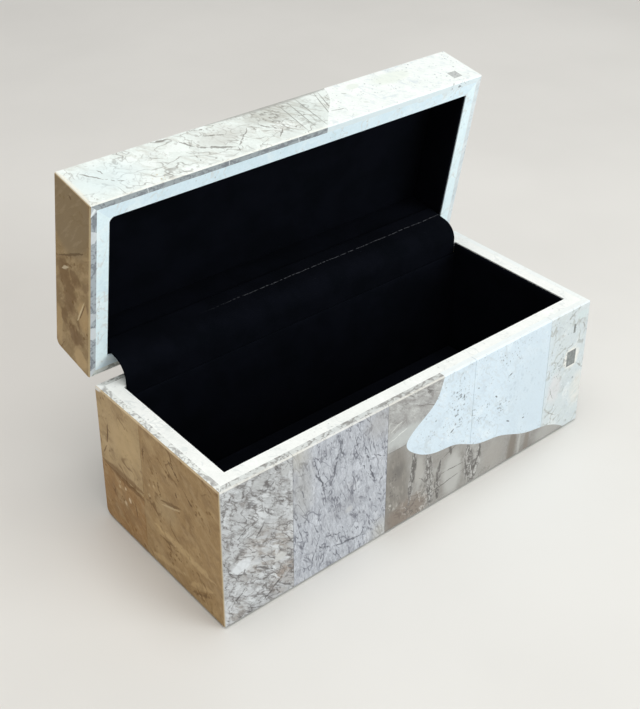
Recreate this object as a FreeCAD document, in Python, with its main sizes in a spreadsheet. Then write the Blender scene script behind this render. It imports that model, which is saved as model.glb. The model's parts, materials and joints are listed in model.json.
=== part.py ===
"""Stone box with a hinged lid: a wooden carcase clad in fitted stone tiles and lined with velvet.

Millimetres and degrees. X runs left to right, Y front to back, Z up. The origin is the middle of the
underside. The base stands at rest and the lid is open on its stop, so lid pieces are drawn closed,
measured from the hinge pin, and then swung back about it.
"""

import FreeCAD
import Part
import Sketcher
import math
import os
from FreeCAD import Placement, Rotation, Vector
from types import SimpleNamespace

doc = FreeCAD.newDocument("stone_box")

# Driving sizes
SIZES = [
    ("box_length", 305, "outside, left to right"),
    ("box_depth", 127, "outside, front to back"),
    ("base_height", 99, "table to the rim of the base"),
    ("lid_height", 38.5, "rim of the lid to its top"),
    ("tile_thickness", 4.5, "stone cladding"),
    ("tile_joint", 0.2, "grout line between two tiles"),
    ("arris", 0.8, "softened edge of the stone"),
    ("worn_edge", 5, "rounding of the long back edges, worn by standing and leaning"),
    ("board_thickness", 8, "wall boards of the carcase"),
    ("bottom_thickness", 8, "bottom board"),
    ("lid_board_thickness", 4, "top board of the lid"),
    ("rebate_depth", 4, "step that takes the next board"),
    ("rim_thickness", 4, "white stone strip on the edge of the boards"),
    ("felt_thickness", 1, "pad under the base"),
    ("felt_inset", 3, "pad edge to the outside of the stone"),
    ("felt_corner", 4, "corner radius of the pad"),
    ("lining_thickness", 1.5, "velvet on card"),
    ("lining_recess", 0.8, "lining edge below the rim"),
    ("breccia_width", 50, "front, first tile from the left"),
    ("veined_width", 72, "front, second tile"),
    ("upper_drop", 36.5, "front, rim to the foot of the small upper tile"),
    ("white_left_share", 0.4, "front, first white tile, as a part of the stretch right of the veined tile"),
    ("white_middle_share", 0.387, "front, second white tile, as a part of that stretch"),
    ("insert_width", 9, "grey chip set in the last white tile"),
    ("insert_height", 12, "grey chip"),
    ("insert_from_end", 10, "grey chip to the right end"),
    ("insert_drop", 34, "grey chip below the rim"),
    ("sliver_width", 2, "thin grey chip above it"),
    ("sliver_height", 7, "thin grey chip"),
    ("sliver_from_end", 13, "thin grey chip to the right end"),
    ("sliver_drop", 13, "thin grey chip below the rim"),
    ("left_front_width", 79, "left end, front tile"),
    ("left_upper_drop", 55, "left end, rim to the foot of the upper back tile"),
    ("back_left_width", 96, "back, tile next to the left end"),
    ("lid_insert_size", 7.5, "grey chip in the front of the lid"),
    ("lid_insert_from_end", 13.5, "lid chip to the right end"),
    ("lid_insert_rise", 6, "lid chip above the rim"),
    ("lid_top_left_width", 104, "top of the lid, tile next to the left end"),
    ("close_gap", 0.5, "between the two rims when shut"),
    ("open_angle", 80, "shut to the stop"),
    ("barrel_diameter", 6, "hinge knuckles, outside"),
    ("barrel_stand_off", 3.5, "back face to the pin's centre"),
    ("pin_diameter", 2.5, "hinge pin"),
    ("pin_proud", 0.5, "pin past the last knuckle, at each end"),
    ("pin_clearance", 0.05, "all round the pin and the screws"),
    ("leaf_thickness", 1, "hinge leaf"),
    ("leaf_reach", 10, "back face to the end of a leaf"),
    ("hinge_length", 38, "along the pin"),
    ("hinge_from_end", 60, "middle of a hinge to the end of the box"),
    ("knuckle_gap", 0.3, "between neighbouring knuckles"),
    ("mortise_clearance", 0.3, "round a leaf let into the base"),
    ("screw_diameter", 2, "hinge screws"),
    ("screw_head_diameter", 4.2, "countersunk head"),
    ("screw_length", 8, "head and shank"),
    ("screw_spacing", 24, "two screws to a leaf"),
    ("screw_from_leaf_end", 2.8, "screw to the end of its leaf"),
    ("flap_thickness", 1, "velvet strip that hides the hinges"),
    ("flap_bend", 12, "radius of its roll"),
    ("flap_tail", 8, "part glued inside the base"),
    ("flap_landing", 10, "part that lies in the lid"),
    ("flap_side_gap", 1, "strip to the side linings"),
    ("soft_clearance", 0.3, "strip over the lining of the lid"),
]
KNUCKLES = 3

sheet = doc.addObject("Spreadsheet::Sheet", "Sizes")
for row, (alias, number, note) in enumerate(SIZES, 1):
    sheet.set(f"A{row}", alias)
    sheet.set(f"B{row}", str(number))
    sheet.setAlias(f"B{row}", alias)
    sheet.set(f"C{row}", note)
doc.recompute()


class Size:
    """A cell of the sheet, or a sum worked out from cells: its number now and the formula to bind to."""

    def __init__(self, number, formula):
        self.number = float(number)
        self.formula = formula

    def __add__(self, other):
        other = as_size(other)
        return Size(self.number + other.number, f"({self.formula} + {other.formula})")

    def __sub__(self, other):
        other = as_size(other)
        return Size(self.number - other.number, f"({self.formula} - {other.formula})")

    def __mul__(self, other):
        other = as_size(other)
        return Size(self.number * other.number, f"({self.formula} * {other.formula})")

    def __truediv__(self, other):
        other = as_size(other)
        return Size(self.number / other.number, f"({self.formula} / {other.formula})")

    def __neg__(self):
        return Size(-self.number, f"(-{self.formula})")

    def __radd__(self, other):
        return as_size(other) + self

    def __rsub__(self, other):
        return as_size(other) - self

    def __rmul__(self, other):
        return as_size(other) * self


def as_size(amount):
    return amount if isinstance(amount, Size) else Size(amount, f"({float(amount)})")


def sine(angle):
    return Size(math.sin(math.radians(angle.number)), f"sin({angle.formula} * 1 deg)")


def cosine(angle):
    return Size(math.cos(math.radians(angle.number)), f"cos({angle.formula} * 1 deg)")


s = SimpleNamespace(**{alias: Size(number, f"Sizes.{alias}") for alias, number, note in SIZES})

# Sums that several pieces share
half_length = s.box_length / 2
half_depth = s.box_depth / 2
wall = s.tile_thickness + s.board_thickness
half_joint = s.tile_joint / 2
barrel_radius = s.barrel_diameter / 2
pin_y = half_depth + s.barrel_stand_off
pin_z = s.base_height + s.close_gap - barrel_radius
past = 1 + s.tile_thickness

# In the lid's own frame the pin is the origin and the lid is shut
lid_middle = -(s.barrel_stand_off + half_depth)
lid_rim = barrel_radius
lid_top = lid_rim + s.lid_height

pieces = {}


def bind(thing, **amounts):
    """Sets properties from sizes and keeps them bound."""
    for name, amount in amounts.items():
        amount = as_size(amount)
        setattr(thing, name, amount.number)
        thing.setExpression(name, amount.formula)


def put(thing, x, y, z, rotation=Rotation()):
    """Places a thing at a point worked out from sizes."""
    corner = [as_size(amount) for amount in (x, y, z)]
    thing.Placement = Placement(Vector(*[amount.number for amount in corner]), rotation)
    for axis, amount in zip("xyz", corner):
        thing.setExpression(f"Placement.Base.{axis}", amount.formula)


def keep(label, thing, in_lid=False):
    """Names a finished piece, and swings it open about the pin if it belongs to the lid."""
    thing.Label = label
    if in_lid:
        put(thing, 0, pin_y, pin_z, Rotation(Vector(1, 0, 0), -s.open_angle.number))
        thing.setExpression("Placement.Rotation.Angle", f"-{s.open_angle.formula} * 1 deg")
    pieces[label] = thing
    return thing


def cut(base, tool):
    result = doc.addObject("Part::Cut", "cut")
    result.Base = base
    result.Tool = tool
    return result


def common(*shapes):
    result = doc.addObject("Part::MultiCommon", "common")
    result.Shapes = list(shapes)
    return result


def group(*things):
    result = doc.addObject("Part::Compound", "group")
    result.Links = list(things)
    return result


# Sketches and features of a body
def new_sketch(body, role, lift=0):
    """A sketch on one of the body's own origin planes, lifted off it along its normal."""
    lift = as_size(lift)
    sketch = body.newObject("Sketcher::SketchObject", "sketch")
    plane = next(feature for feature in body.Origin.OriginFeatures if feature.Role == role)
    sketch.AttachmentSupport = [(plane, "")]
    sketch.MapMode = "FlatFace"
    sketch.AttachmentOffset = Placement(Vector(0, 0, lift.number), Rotation())
    sketch.setExpression("AttachmentOffset.Base.z", lift.formula)
    return sketch


def pin_point(sketch, geometry, end, across, up):
    """Fixes one point of a sketch by its two distances from the origin."""
    for kind, amount in (("DistanceX", across), ("DistanceY", up)):
        amount = as_size(amount)
        index = sketch.addConstraint(Sketcher.Constraint(kind, -1, 1, geometry, end, amount.number))
        sketch.setExpression(f"Constraints[{index}]", amount.formula)


def vector(across, up):
    return Vector(as_size(across).number, as_size(up).number, 0)


def outline(body, role, corners, lift=0):
    """A closed outline of straight lines through corners that are worked out from sizes."""
    sketch = new_sketch(body, role, lift)
    count = len(corners)
    for here, there in zip(corners, corners[1:] + corners[:1]):
        sketch.addGeometry(Part.LineSegment(vector(*here), vector(*there)), False)
    for index in range(count):
        sketch.addConstraint(Sketcher.Constraint("Coincident", index, 2, (index + 1) % count, 1))
    for index, (across, up) in enumerate(corners):
        pin_point(sketch, index, 1, across, up)
    return sketch


def rectangle(left, right, low, high):
    return [(left, low), (right, low), (right, high), (left, high)]


def circles(body, role, centres, diameter, lift=0):
    """Circles of one diameter."""
    sketch = new_sketch(body, role, lift)
    for index, (across, up) in enumerate(centres):
        sketch.addGeometry(Part.Circle(vector(across, up), Vector(0, 0, 1), diameter.number / 2), False)
        pin_point(sketch, index, 3, across, up)
        constraint = sketch.addConstraint(Sketcher.Constraint("Diameter", index, diameter.number))
        sketch.setExpression(f"Constraints[{constraint}]", diameter.formula)
    return sketch


def pad(body, sketch, length):
    feature = body.newObject("PartDesign::Pad", "pad")
    feature.Profile = sketch
    bind(feature, Length=length)
    return feature


def pocket(body, sketch, length):
    """Cuts along the sketch's normal, and stops the build if it cut nothing."""
    doc.recompute()
    before = body.Shape.Volume
    feature = body.newObject("PartDesign::Pocket", "pocket")
    feature.Profile = sketch
    feature.Reversed = True
    bind(feature, Length=length)
    doc.recompute()
    if body.Shape.Volume >= before:
        raise RuntimeError(f"a pocket of {body.Label} cuts nothing")
    return feature


def soften(body, feature, kind, size, wanted):
    """Rounds or bevels the edges of the last feature whose middle and direction pass a test."""
    doc.recompute()
    names = []
    for number, edge in enumerate(feature.Shape.Edges, 1):
        middle = edge.valueAt((edge.FirstParameter + edge.LastParameter) / 2)
        if wanted(middle, edge):
            names.append(f"Edge{number}")
    softened = body.newObject(f"PartDesign::{kind}", "softened")
    softened.Base = (feature, names)
    bind(softened, **{"Radius" if kind == "Fillet" else "Size": size})
    doc.recompute()
    return softened


def revolve(body, sketch, axis):
    feature = body.newObject("PartDesign::Revolution", "revolution")
    feature.Profile = sketch
    feature.ReferenceAxis = (sketch, [axis])
    feature.Angle = 360
    return feature


def new_body(label):
    body = doc.addObject("PartDesign::Body", label)
    body.Label = label + "_blank"
    return body


def plate(label, left, right, front, back, low, high):
    """A flat rectangular piece."""
    body = new_body(label)
    pad(body, outline(body, "XY_Plane", rectangle(left, right, front, back), low), high - low)
    return body


class Wall:
    """One face of the base or the lid. Its own axes are left to right as seen from outside, inward from
    the outer face, and up; they are turned about Z to where the wall stands."""

    def __init__(self, width, reach, turn, middle):
        self.width = as_size(width)
        self.reach = reach
        self.turn = turn
        self.middle = middle

    def place(self, thing, across, inward, up):
        cos = round(math.cos(math.radians(self.turn)))
        sin = round(math.sin(math.radians(self.turn)))
        out = self.reach - inward
        x = across * cos + out * sin
        y = self.middle + across * sin - out * cos
        put(thing, x, y, up, Rotation(Vector(0, 0, 1), self.turn))


class Top:
    """The top face of the lid: left to right, inward is down, and up is towards the back."""

    def __init__(self, width, height, middle):
        self.width = as_size(width)
        self.height = height
        self.middle = middle

    def place(self, thing, across, inward, up):
        put(thing, across, self.middle + up, self.height - inward, Rotation(Vector(1, 0, 0), -90))


def walls_of(middle):
    """The four walls of the base or of the lid."""
    return SimpleNamespace(
        front=Wall(s.box_length, half_depth, 0, middle),
        right=Wall(s.box_depth, half_length, 90, middle),
        back=Wall(s.box_length, half_depth, 180, middle),
        left=Wall(s.box_depth, half_length, 270, middle),
    )


base = walls_of(as_size(0))
lid = walls_of(lid_middle)
lid.top = Top(s.box_length, lid_top, lid_middle)


def mitred(wall_face, near, far, low, high, far_low=None, far_high=None):
    """A strip along a wall, from one depth to another, with ends mitred to meet its neighbours."""
    strip = doc.addObject("Part::Wedge", "strip")
    half = wall_face.width / 2
    bind(strip, Ymin=near, Ymax=far, Zmin=low, Zmax=high)
    bind(strip, Xmin=near - half, Xmax=half - near, X2min=far - half, X2max=half - far)
    bind(strip, Z2min=low if far_low is None else far_low, Z2max=high if far_high is None else far_high)
    wall_face.place(strip, as_size(0), as_size(0), as_size(0))
    return strip


def region(wall_face, left, right, low, high):
    """A block through a wall's stone, from left to right along the wall and from low to high."""
    block = doc.addObject("Part::Box", "region")
    bind(block, Length=right - left, Width=s.tile_thickness + 2 * past, Height=high - low)
    wall_face.place(block, left - wall_face.width / 2, -past, as_size(low))
    return block


def white_field(wall_face, wave, white_side):
    """The part of a wall that is white: all that lies to one side of a wavy line. The line runs through
    points given from the middle of the wall and up from the wall's zero."""
    line = Part.BSplineCurve()
    points = [Vector(across, -past.number, up) for across, up in wave]
    line.interpolate(points)
    far = white_side * s.box_length.number
    first = Vector(far, -past.number, points[0].z)
    last = Vector(far, -past.number, points[-1].z)
    sides = [(points[-1], last), (last, first), (first, points[0])]
    edges = [line.toShape()] + [Part.LineSegment(*ends).toShape() for ends in sides]
    field = doc.addObject("Part::Feature", "white_field")
    depth = s.tile_thickness + 2 * past
    field.Shape = Part.Face(Part.Wire(edges)).extrude(Vector(0, depth.number, 0))
    wall_face.place(field, as_size(0), as_size(0), as_size(0))
    return field


# Carcase: long boards with a step at each end for the end boards, and a step for the bottom or top board
def carcase(name, middle, low, high, panel_low, panel_high):
    half = half_length - s.tile_thickness
    shoulder = half - s.board_thickness
    boards = SimpleNamespace()
    step_depth = half_depth - s.tile_thickness - s.rebate_depth
    for place, sign in (("front", -1), ("back", 1)):
        outer = middle + sign * (half_depth - s.tile_thickness)
        step = middle + sign * step_depth
        inner = middle + sign * (half_depth - wall)
        plan = [(-half, outer), (half, outer), (half, step), (shoulder, step)]
        plan += [(shoulder, inner), (-shoulder, inner), (-shoulder, step), (-half, step)]
        board = new_body(f"{name}_{place}_board")
        pad(board, outline(board, "XY_Plane", plan, low), high - low)
        seat = rectangle(-half, half, step, inner)
        pocket(board, outline(board, "XY_Plane", seat, panel_low), panel_high - panel_low)
        setattr(boards, place, board)
    for place, sign in (("left", -1), ("right", 1)):
        front, back = middle - step_depth, middle + step_depth
        board = plate(f"{name}_{place}_board", sign * half, sign * shoulder, front, back, low, high)
        seat = rectangle(sign * (half - s.rebate_depth), sign * shoulder, front, back)
        pocket(board, outline(board, "XY_Plane", seat, panel_low), panel_high - panel_low)
        setattr(boards, place, board)
    reach = half - s.rebate_depth
    boards.panel = plate(
        f"{name}_panel", -reach, reach, middle - step_depth, middle + step_depth, panel_low, panel_high
    )
    return boards


bottom_top = s.felt_thickness + s.bottom_thickness
board_top = s.base_height - s.rim_thickness
base_boards = carcase("base", as_size(0), s.felt_thickness, board_top, s.felt_thickness, bottom_top)
keep("base_front_board", base_boards.front)
keep("base_left_board", base_boards.left)
keep("base_right_board", base_boards.right)
keep("base_bottom_board", base_boards.panel)

lid_ceiling = lid_top - s.tile_thickness - s.lid_board_thickness
lid_board_top = lid_top - s.tile_thickness
lid_boards = carcase("lid", lid_middle, lid_rim + s.rim_thickness, lid_board_top, lid_ceiling, lid_board_top)
keep("lid_front_board", lid_boards.front, in_lid=True)
keep("lid_left_board", lid_boards.left, in_lid=True)
keep("lid_right_board", lid_boards.right, in_lid=True)
keep("lid_top_board", lid_boards.panel, in_lid=True)

# Felt pad under the base
pad_x = half_length - s.felt_inset
pad_y = half_depth - s.felt_inset
felt = plate("base_felt_pad", -pad_x, pad_x, -pad_y, pad_y, as_size(0), s.felt_thickness)
soften(felt, felt.Tip, "Fillet", s.felt_corner, lambda middle, edge: abs(edge.tangentAt(edge.FirstParameter).z) > 0.9)
keep("base_felt_pad", felt)

# Hinges: two brass butt hinges, let into the back rim of the base and screwed to the back rim of the lid
leaf_top = barrel_radius - s.leaf_thickness
knuckle = s.hinge_length / KNUCKLES
leaf_end = -(s.barrel_stand_off + s.leaf_reach)
screw_row = leaf_end + s.screw_from_leaf_end
screw_places = [-s.screw_spacing / 2, s.screw_spacing / 2]
hinge_places = [s.hinge_from_end - half_length, half_length - s.hinge_from_end]


def leaf(label, side, first_gap):
    """One leaf about its pin: a plate that touches the barrel below (side -1) or above (side 1), with
    every second knuckle cut away from first_gap on, and countersunk holes."""
    body = new_body(label)
    start = -s.hinge_length / 2
    section = rectangle(leaf_end, as_size(0), side * leaf_top, side * barrel_radius)
    pad(body, outline(body, "YZ_Plane", section, start), s.hinge_length)
    pad(body, circles(body, "YZ_Plane", [(0, 0)], s.barrel_diameter, start), s.hinge_length)
    bore = s.pin_diameter + 2 * s.pin_clearance
    pocket(body, circles(body, "YZ_Plane", [(0, 0)], bore, start), s.hinge_length)
    clear = barrel_radius + s.knuckle_gap
    for index in range(first_gap, KNUCKLES, 2):
        left = start + index * knuckle - s.knuckle_gap / 2
        notch = rectangle(left, left + knuckle + s.knuckle_gap, -clear, clear)
        pocket(body, outline(body, "XY_Plane", notch, -clear), 2 * clear)
    hole_diameter = s.screw_diameter + 2 * s.pin_clearance
    centres = [(across, screw_row) for across in screw_places]
    sketch = circles(body, "XY_Plane", centres, hole_diameter, side * leaf_top)
    doc.recompute()
    before = body.Shape.Volume
    hole = body.newObject("PartDesign::Hole", "screw_hole")
    hole.Profile = sketch
    hole.DepthType = "ThroughAll"
    hole.HoleCutType = "Countersink"
    hole.HoleCutCustomValues = True
    hole.HoleCutCountersinkAngle = 90
    hole.Reversed = side > 0
    bind(hole, Diameter=hole_diameter, HoleCutDiameter=s.screw_head_diameter + 2 * s.pin_clearance)
    doc.recompute()
    if body.Shape.Volume >= before:
        raise RuntimeError(f"the screw holes of {label} cut nothing")
    return body


def copies(source, points, rotation=Rotation()):
    """One group of separate copies of a piece."""
    links = []
    for point in points:
        link = doc.addObject("App::Link", "copy")
        link.LinkedObject = source
        put(link, *point, rotation)
        links.append(link)
    return group(*links)


base_leaf = leaf("base_leaf", -1, 1)
keep("base_hinge_leaves", copies(base_leaf, [(x, pin_y, pin_z) for x in hinge_places]))
lid_leaf = leaf("lid_leaf", 1, 0)
keep("lid_hinge_leaves", copies(lid_leaf, [(x, 0, 0) for x in hinge_places]), in_lid=True)

pin = new_body("hinge_pin")
pin_end = s.hinge_length / 2 + s.pin_proud
pad(pin, circles(pin, "YZ_Plane", [(0, 0)], s.pin_diameter, -pin_end), 2 * pin_end)
keep("hinge_pins", copies(pin, [(x, pin_y, pin_z) for x in hinge_places]))

screw = new_body("hinge_screw")
shank = s.screw_diameter / 2
screw_head = s.screw_head_diameter / 2
neck = shank - screw_head
screw_profile = [(0, 0), (screw_head, 0), (shank, neck), (shank, -s.screw_length), (0, -s.screw_length)]
revolve(screw, outline(screw, "XZ_Plane", screw_profile), "V_Axis")
drill = doc.addObject("Part::Cylinder", "drill")
bind(drill, Radius=shank + 2 * s.pin_clearance, Height=s.screw_length)

screw_xs = [x + across for x in hinge_places for across in screw_places]
base_screws = [(x, pin_y + screw_row, pin_z - leaf_top) for x in screw_xs]
base_drills = [(x, pin_y + screw_row, pin_z - leaf_top - s.screw_length) for x in screw_xs]
keep("base_hinge_screws", copies(screw, base_screws))
lid_screws = [(x, screw_row, leaf_top) for x in screw_xs]
upside_down = Rotation(Vector(1, 0, 0), 180)
keep("lid_hinge_screws", copies(screw, lid_screws, upside_down), in_lid=True)

# Mortises for the hinges: through the tile and the rim strip, and a little into the back board
mortise_floor = pin_z - barrel_radius
mortise_end = half_depth - s.leaf_reach - s.mortise_clearance
mortises = []
for x in hinge_places:
    mortise = doc.addObject("Part::Box", "mortise")
    bind(mortise, Length=s.hinge_length + 2 * s.mortise_clearance)
    bind(mortise, Width=half_depth + past - mortise_end, Height=s.base_height + past - mortise_floor)
    put(mortise, x - s.hinge_length / 2 - s.mortise_clearance, mortise_end, mortise_floor)
    mortises.append(mortise)
hinge_mortises = group(*mortises)

back_board = cut(base_boards.back, hinge_mortises)
keep("base_back_board", cut(back_board, copies(drill, base_drills)))
lid_drills = copies(drill, lid_screws)
keep("lid_back_board", cut(lid_boards.back, lid_drills), in_lid=True)

# White rim strips on the edges of the boards, mitred at the corners
rim_low = s.base_height - s.rim_thickness
for place in ("front", "left", "right"):
    strip = mitred(getattr(base, place), s.tile_thickness, wall, rim_low, s.base_height)
    keep(f"base_rim_{place}", strip)
back_strip = mitred(base.back, s.tile_thickness, wall, rim_low, s.base_height)
keep("base_rim_back", cut(back_strip, hinge_mortises))
lid_rim_high = lid_rim + s.rim_thickness
for place in ("front", "left", "right", "back"):
    strip = mitred(getattr(lid, place), s.tile_thickness, wall, lid_rim, lid_rim_high)
    tools = [lid_drills] if place == "back" else []
    keep(f"lid_rim_{place}", cut(strip, *tools) if tools else common(strip), in_lid=True)

# Velvet linings: card panels wrapped in velvet, mitred at the corners, with a floor and a ceiling panel
lining_face = wall + s.lining_thickness
flap_foot = s.base_height - s.flap_tail
lining_tops = {"front": s.base_height - s.lining_recess, "left": s.base_height - s.lining_recess}
lining_tops.update({"right": s.base_height - s.lining_recess, "back": flap_foot - s.mortise_clearance})
for place, high in lining_tops.items():
    keep(f"base_lining_{place}", mitred(getattr(base, place), wall, lining_face, bottom_top, high))
floor_x = half_length - lining_face
floor_y = half_depth - lining_face
floor_top = bottom_top + s.lining_thickness
keep("base_lining_floor", plate("base_lining_floor", -floor_x, floor_x, -floor_y, floor_y, bottom_top, floor_top))
for place in ("front", "left", "right", "back"):
    low = lid_rim + s.lining_recess
    panel = mitred(getattr(lid, place), wall, lining_face, low, lid_ceiling)
    keep(f"lid_lining_{place}", common(panel), in_lid=True)
ceiling_low = lid_ceiling - s.lining_thickness
ceiling_front = lid_middle - floor_y
ceiling_back = lid_middle + floor_y
ceiling = plate("lid_lining_ceiling", -floor_x, floor_x, ceiling_front, ceiling_back, ceiling_low, lid_ceiling)
keep("lid_lining_ceiling", ceiling, in_lid=True)

# Velvet strip that hides the hinges: up the back of the base, rolled over and laid into the lid
flap = new_body("hinge_velvet_flap")
flap_y = half_depth - wall - s.flap_thickness / 2
flap_x = half_length - lining_face - s.flap_side_gap
swing_sine = sine(s.open_angle)
swing_cosine = cosine(s.open_angle)
half_swing = s.open_angle / 2
run_up = s.flap_bend * sine(half_swing) / cosine(half_swing)
over_pin = s.barrel_stand_off + lining_face + s.soft_clearance + s.flap_thickness / 2
corner_rise = (flap_y - pin_y + over_pin * swing_cosine) / swing_sine
corner_z = pin_z + over_pin * swing_sine + corner_rise * swing_cosine
laid_rise = lid_rim + s.flap_landing
foot = (flap_y, flap_foot)
bend_start = (flap_y, corner_z - run_up)
bend_end = (flap_y + run_up * swing_sine, corner_z + run_up * swing_cosine)
laid_end = (
    pin_y - over_pin * swing_cosine + laid_rise * swing_sine,
    pin_z + over_pin * swing_sine + laid_rise * swing_cosine,
)
path = new_sketch(flap, "YZ_Plane")
path.addGeometry(Part.LineSegment(vector(*foot), vector(*bend_start)), False)
bend_middle = vector(flap_y + s.flap_bend, corner_z - run_up)
bend_circle = Part.Circle(bend_middle, Vector(0, 0, 1), s.flap_bend.number)
turn = math.radians(s.open_angle.number)
path.addGeometry(Part.ArcOfCircle(bend_circle, math.pi - turn, math.pi), False)
path.addGeometry(Part.LineSegment(vector(*bend_end), vector(*laid_end)), False)
pin_point(path, 0, 1, *foot)
pin_point(path, 0, 2, *bend_start)
pin_point(path, 2, 1, *bend_end)
pin_point(path, 2, 2, *laid_end)
path.addConstraint(Sketcher.Constraint("Tangent", 0, 2, 1, 2))
path.addConstraint(Sketcher.Constraint("Coincident", 1, 1, 2, 1))
thick = s.flap_thickness / 2
strip_end = outline(flap, "XY_Plane", rectangle(-flap_x, flap_x, flap_y - thick, flap_y + thick), flap_foot)
sweep = flap.newObject("PartDesign::AdditivePipe", "sweep")
sweep.Profile = strip_end
sweep.Spine = (path, ["Edge1", "Edge2", "Edge3"])
keep("hinge_velvet_flap", flap)


# Stone cladding: each block has the outside form with its softened edges, and each wall is a mitred slab of it
def is_crease(shape, point):
    """True where the faces that meet at a point of an edge stand at an angle to each other."""
    normals = []
    for face in shape.Faces:
        if face.distToShape(Part.Vertex(point))[0] < 1e-6:
            normals.append(face.normalAt(*face.Surface.parameter(point)))
    return len(normals) == 2 and normals[0].getAngle(normals[1]) > math.radians(20)


def stone_block(label, middle, low, high, worn_z):
    """A block with one long back edge worn round and every other edge bevelled."""
    front, back = middle - half_depth, middle + half_depth
    block = plate(label, -half_length, half_length, front, back, low, high)

    def worn(point, edge):
        return abs(point.y - back.number) < 1e-6 and abs(point.z - worn_z.number) < 1e-6

    rounded = soften(block, block.Tip, "Fillet", s.worn_edge, worn)
    soften(block, rounded, "Chamfer", s.arris, lambda point, edge: is_crease(rounded.Shape, point))
    return block


base_block = stone_block("base_block", as_size(0), s.felt_thickness, s.base_height, s.felt_thickness)
lid_block = stone_block("lid_block", lid_middle, lid_rim, lid_top, lid_top)
slab = s.tile_thickness


def base_slab(wall_face):
    return common(base_block, mitred(wall_face, as_size(0), slab, s.felt_thickness, s.base_height))


def lid_slab(wall_face):
    strip = mitred(wall_face, as_size(0), slab, lid_rim, lid_top, far_high=lid_top - slab)
    return common(lid_block, strip)


# Wavy edge of the white stone, which runs round the box. Across, its points are parts of the stretch from
# the veined tile to the right end; the other way, parts of the face, from just before its edge to just past it
FRONT_WAVE = [(0.27, -0.08), (0.251, 0), (0.224, 0.14), (0.139, 0.27), (0.087, 0.38), (0.126, 0.475), (0.24, 0.57)]
FRONT_WAVE += [(0.317, 0.59), (0.437, 0.69), (0.546, 0.73), (0.7, 0.84), (0.825, 0.89), (0.885, 0.94), (0.96, 1.06)]
LID_FRONT_WAVE = [(0.215, -0.2), (0.251, 0), (0.322, 0.39), (0.377, 0.68), (0.404, 1), (0.412, 1.2)]
LID_TOP_WAVE = [(0.4, -0.06), (0.404, 0), (0.426, 0.19), (0.519, 0.47), (0.628, 0.76), (0.65, 1), (0.652, 1.06)]
LID_BACK_WAVE = [(0.625, -0.2), (0.628, 0), (0.639, 0.47), (0.65, 1), (0.652, 1.2)]
BACK_WAVE = [(0.65, -0.08), (0.628, 0), (0.545, 0.25), (0.5, 0.5), (0.56, 0.78), (0.68, 1.06)]

veined_left = s.breccia_width
veined_right = veined_left + s.veined_width
white_stretch = s.box_length - veined_right


def on_wall(wave, zero, height, mirrored=False):
    """Wave points as distances from the middle of a wall and upward; from behind, left and right change."""
    side = -1 if mirrored else 1
    first = veined_right.number - half_length.number
    return [(side * (first + across * white_stretch.number), zero + along * height) for across, along in wave]


base_rim_z = s.base_height.number
lid_rim_z = lid_rim.number
lid_height = s.lid_height.number
top_front = -half_depth.number
front_field = white_field(base.front, on_wall(FRONT_WAVE, base_rim_z, -base_rim_z), 1)
back_field = white_field(base.back, on_wall(BACK_WAVE, base_rim_z, -base_rim_z, mirrored=True), -1)
lid_front_field = white_field(lid.front, on_wall(LID_FRONT_WAVE, lid_rim_z, lid_height), 1)
lid_back_field = white_field(lid.back, on_wall(LID_BACK_WAVE, lid_rim_z, lid_height, mirrored=True), -1)
lid_top_field = white_field(lid.top, on_wall(LID_TOP_WAVE, top_front, s.box_depth.number), 1)

# Front of the base: four grey tiles, and white tiles that lie against them along the wave
front_slab = base_slab(base.front)
below = -past
above = s.base_height + past
start = -past
end = s.box_length + past
upper_foot = s.base_height - s.upper_drop
white_middle = veined_right + white_stretch * s.white_left_share
white_right = white_middle + white_stretch * s.white_middle_share


def tile(label, stone, block, without=None, in_lid=False):
    """One tile: what a block takes out of a slab, less what is set into it or lies against it."""
    piece = common(stone, block)
    keep(label, piece if without is None else cut(piece, without), in_lid)


tile("front_breccia_tile", front_slab, region(base.front, start, veined_left - half_joint, below, above))
veined = region(base.front, veined_left + half_joint, veined_right - half_joint, below, above)
tile("front_veined_tile", front_slab, veined)
upper = region(base.front, veined_right + half_joint, end, upper_foot + half_joint, above)
tile("front_upper_tile", front_slab, upper, front_field)
banded = region(base.front, veined_right + half_joint, end, below, upper_foot - half_joint)
tile("front_banded_tile", front_slab, banded, front_field)

chip_right = s.box_length - s.insert_from_end
chip_top = s.base_height - s.insert_drop
chip = region(base.front, chip_right - s.insert_width, chip_right, chip_top - s.insert_height, chip_top)
sliver_right = s.box_length - s.sliver_from_end
sliver_top = s.base_height - s.sliver_drop
sliver_left = sliver_right - s.sliver_width
sliver = region(base.front, sliver_left, sliver_right, sliver_top - s.sliver_height, sliver_top)
chips = group(chip, sliver)
white_slab = common(front_slab, front_field)
left_white = region(base.front, veined_right + half_joint, white_middle - half_joint, below, above)
tile("front_white_left_tile", white_slab, left_white)
middle_white = region(base.front, white_middle + half_joint, white_right - half_joint, below, above)
tile("front_white_middle_tile", white_slab, middle_white)
right_white = region(base.front, white_right + half_joint, end, below, above)
tile("front_white_right_tile", white_slab, right_white, chips)
tile("front_grey_inserts", front_slab, chips)

# Ends of the base: three grey tiles on the left, one white tile on the right
left_slab = base_slab(base.left)
depth_end = s.box_depth + past
left_seam = s.box_depth - s.left_front_width
left_foot = s.base_height - s.left_upper_drop
tile("left_front_tile", left_slab, region(base.left, left_seam + half_joint, depth_end, below, above))
tile("left_upper_tile", left_slab, region(base.left, start, left_seam - half_joint, left_foot + half_joint, above))
tile("left_lower_tile", left_slab, region(base.left, start, left_seam - half_joint, below, left_foot - half_joint))
keep("right_end_tile", base_slab(base.right))

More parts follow.
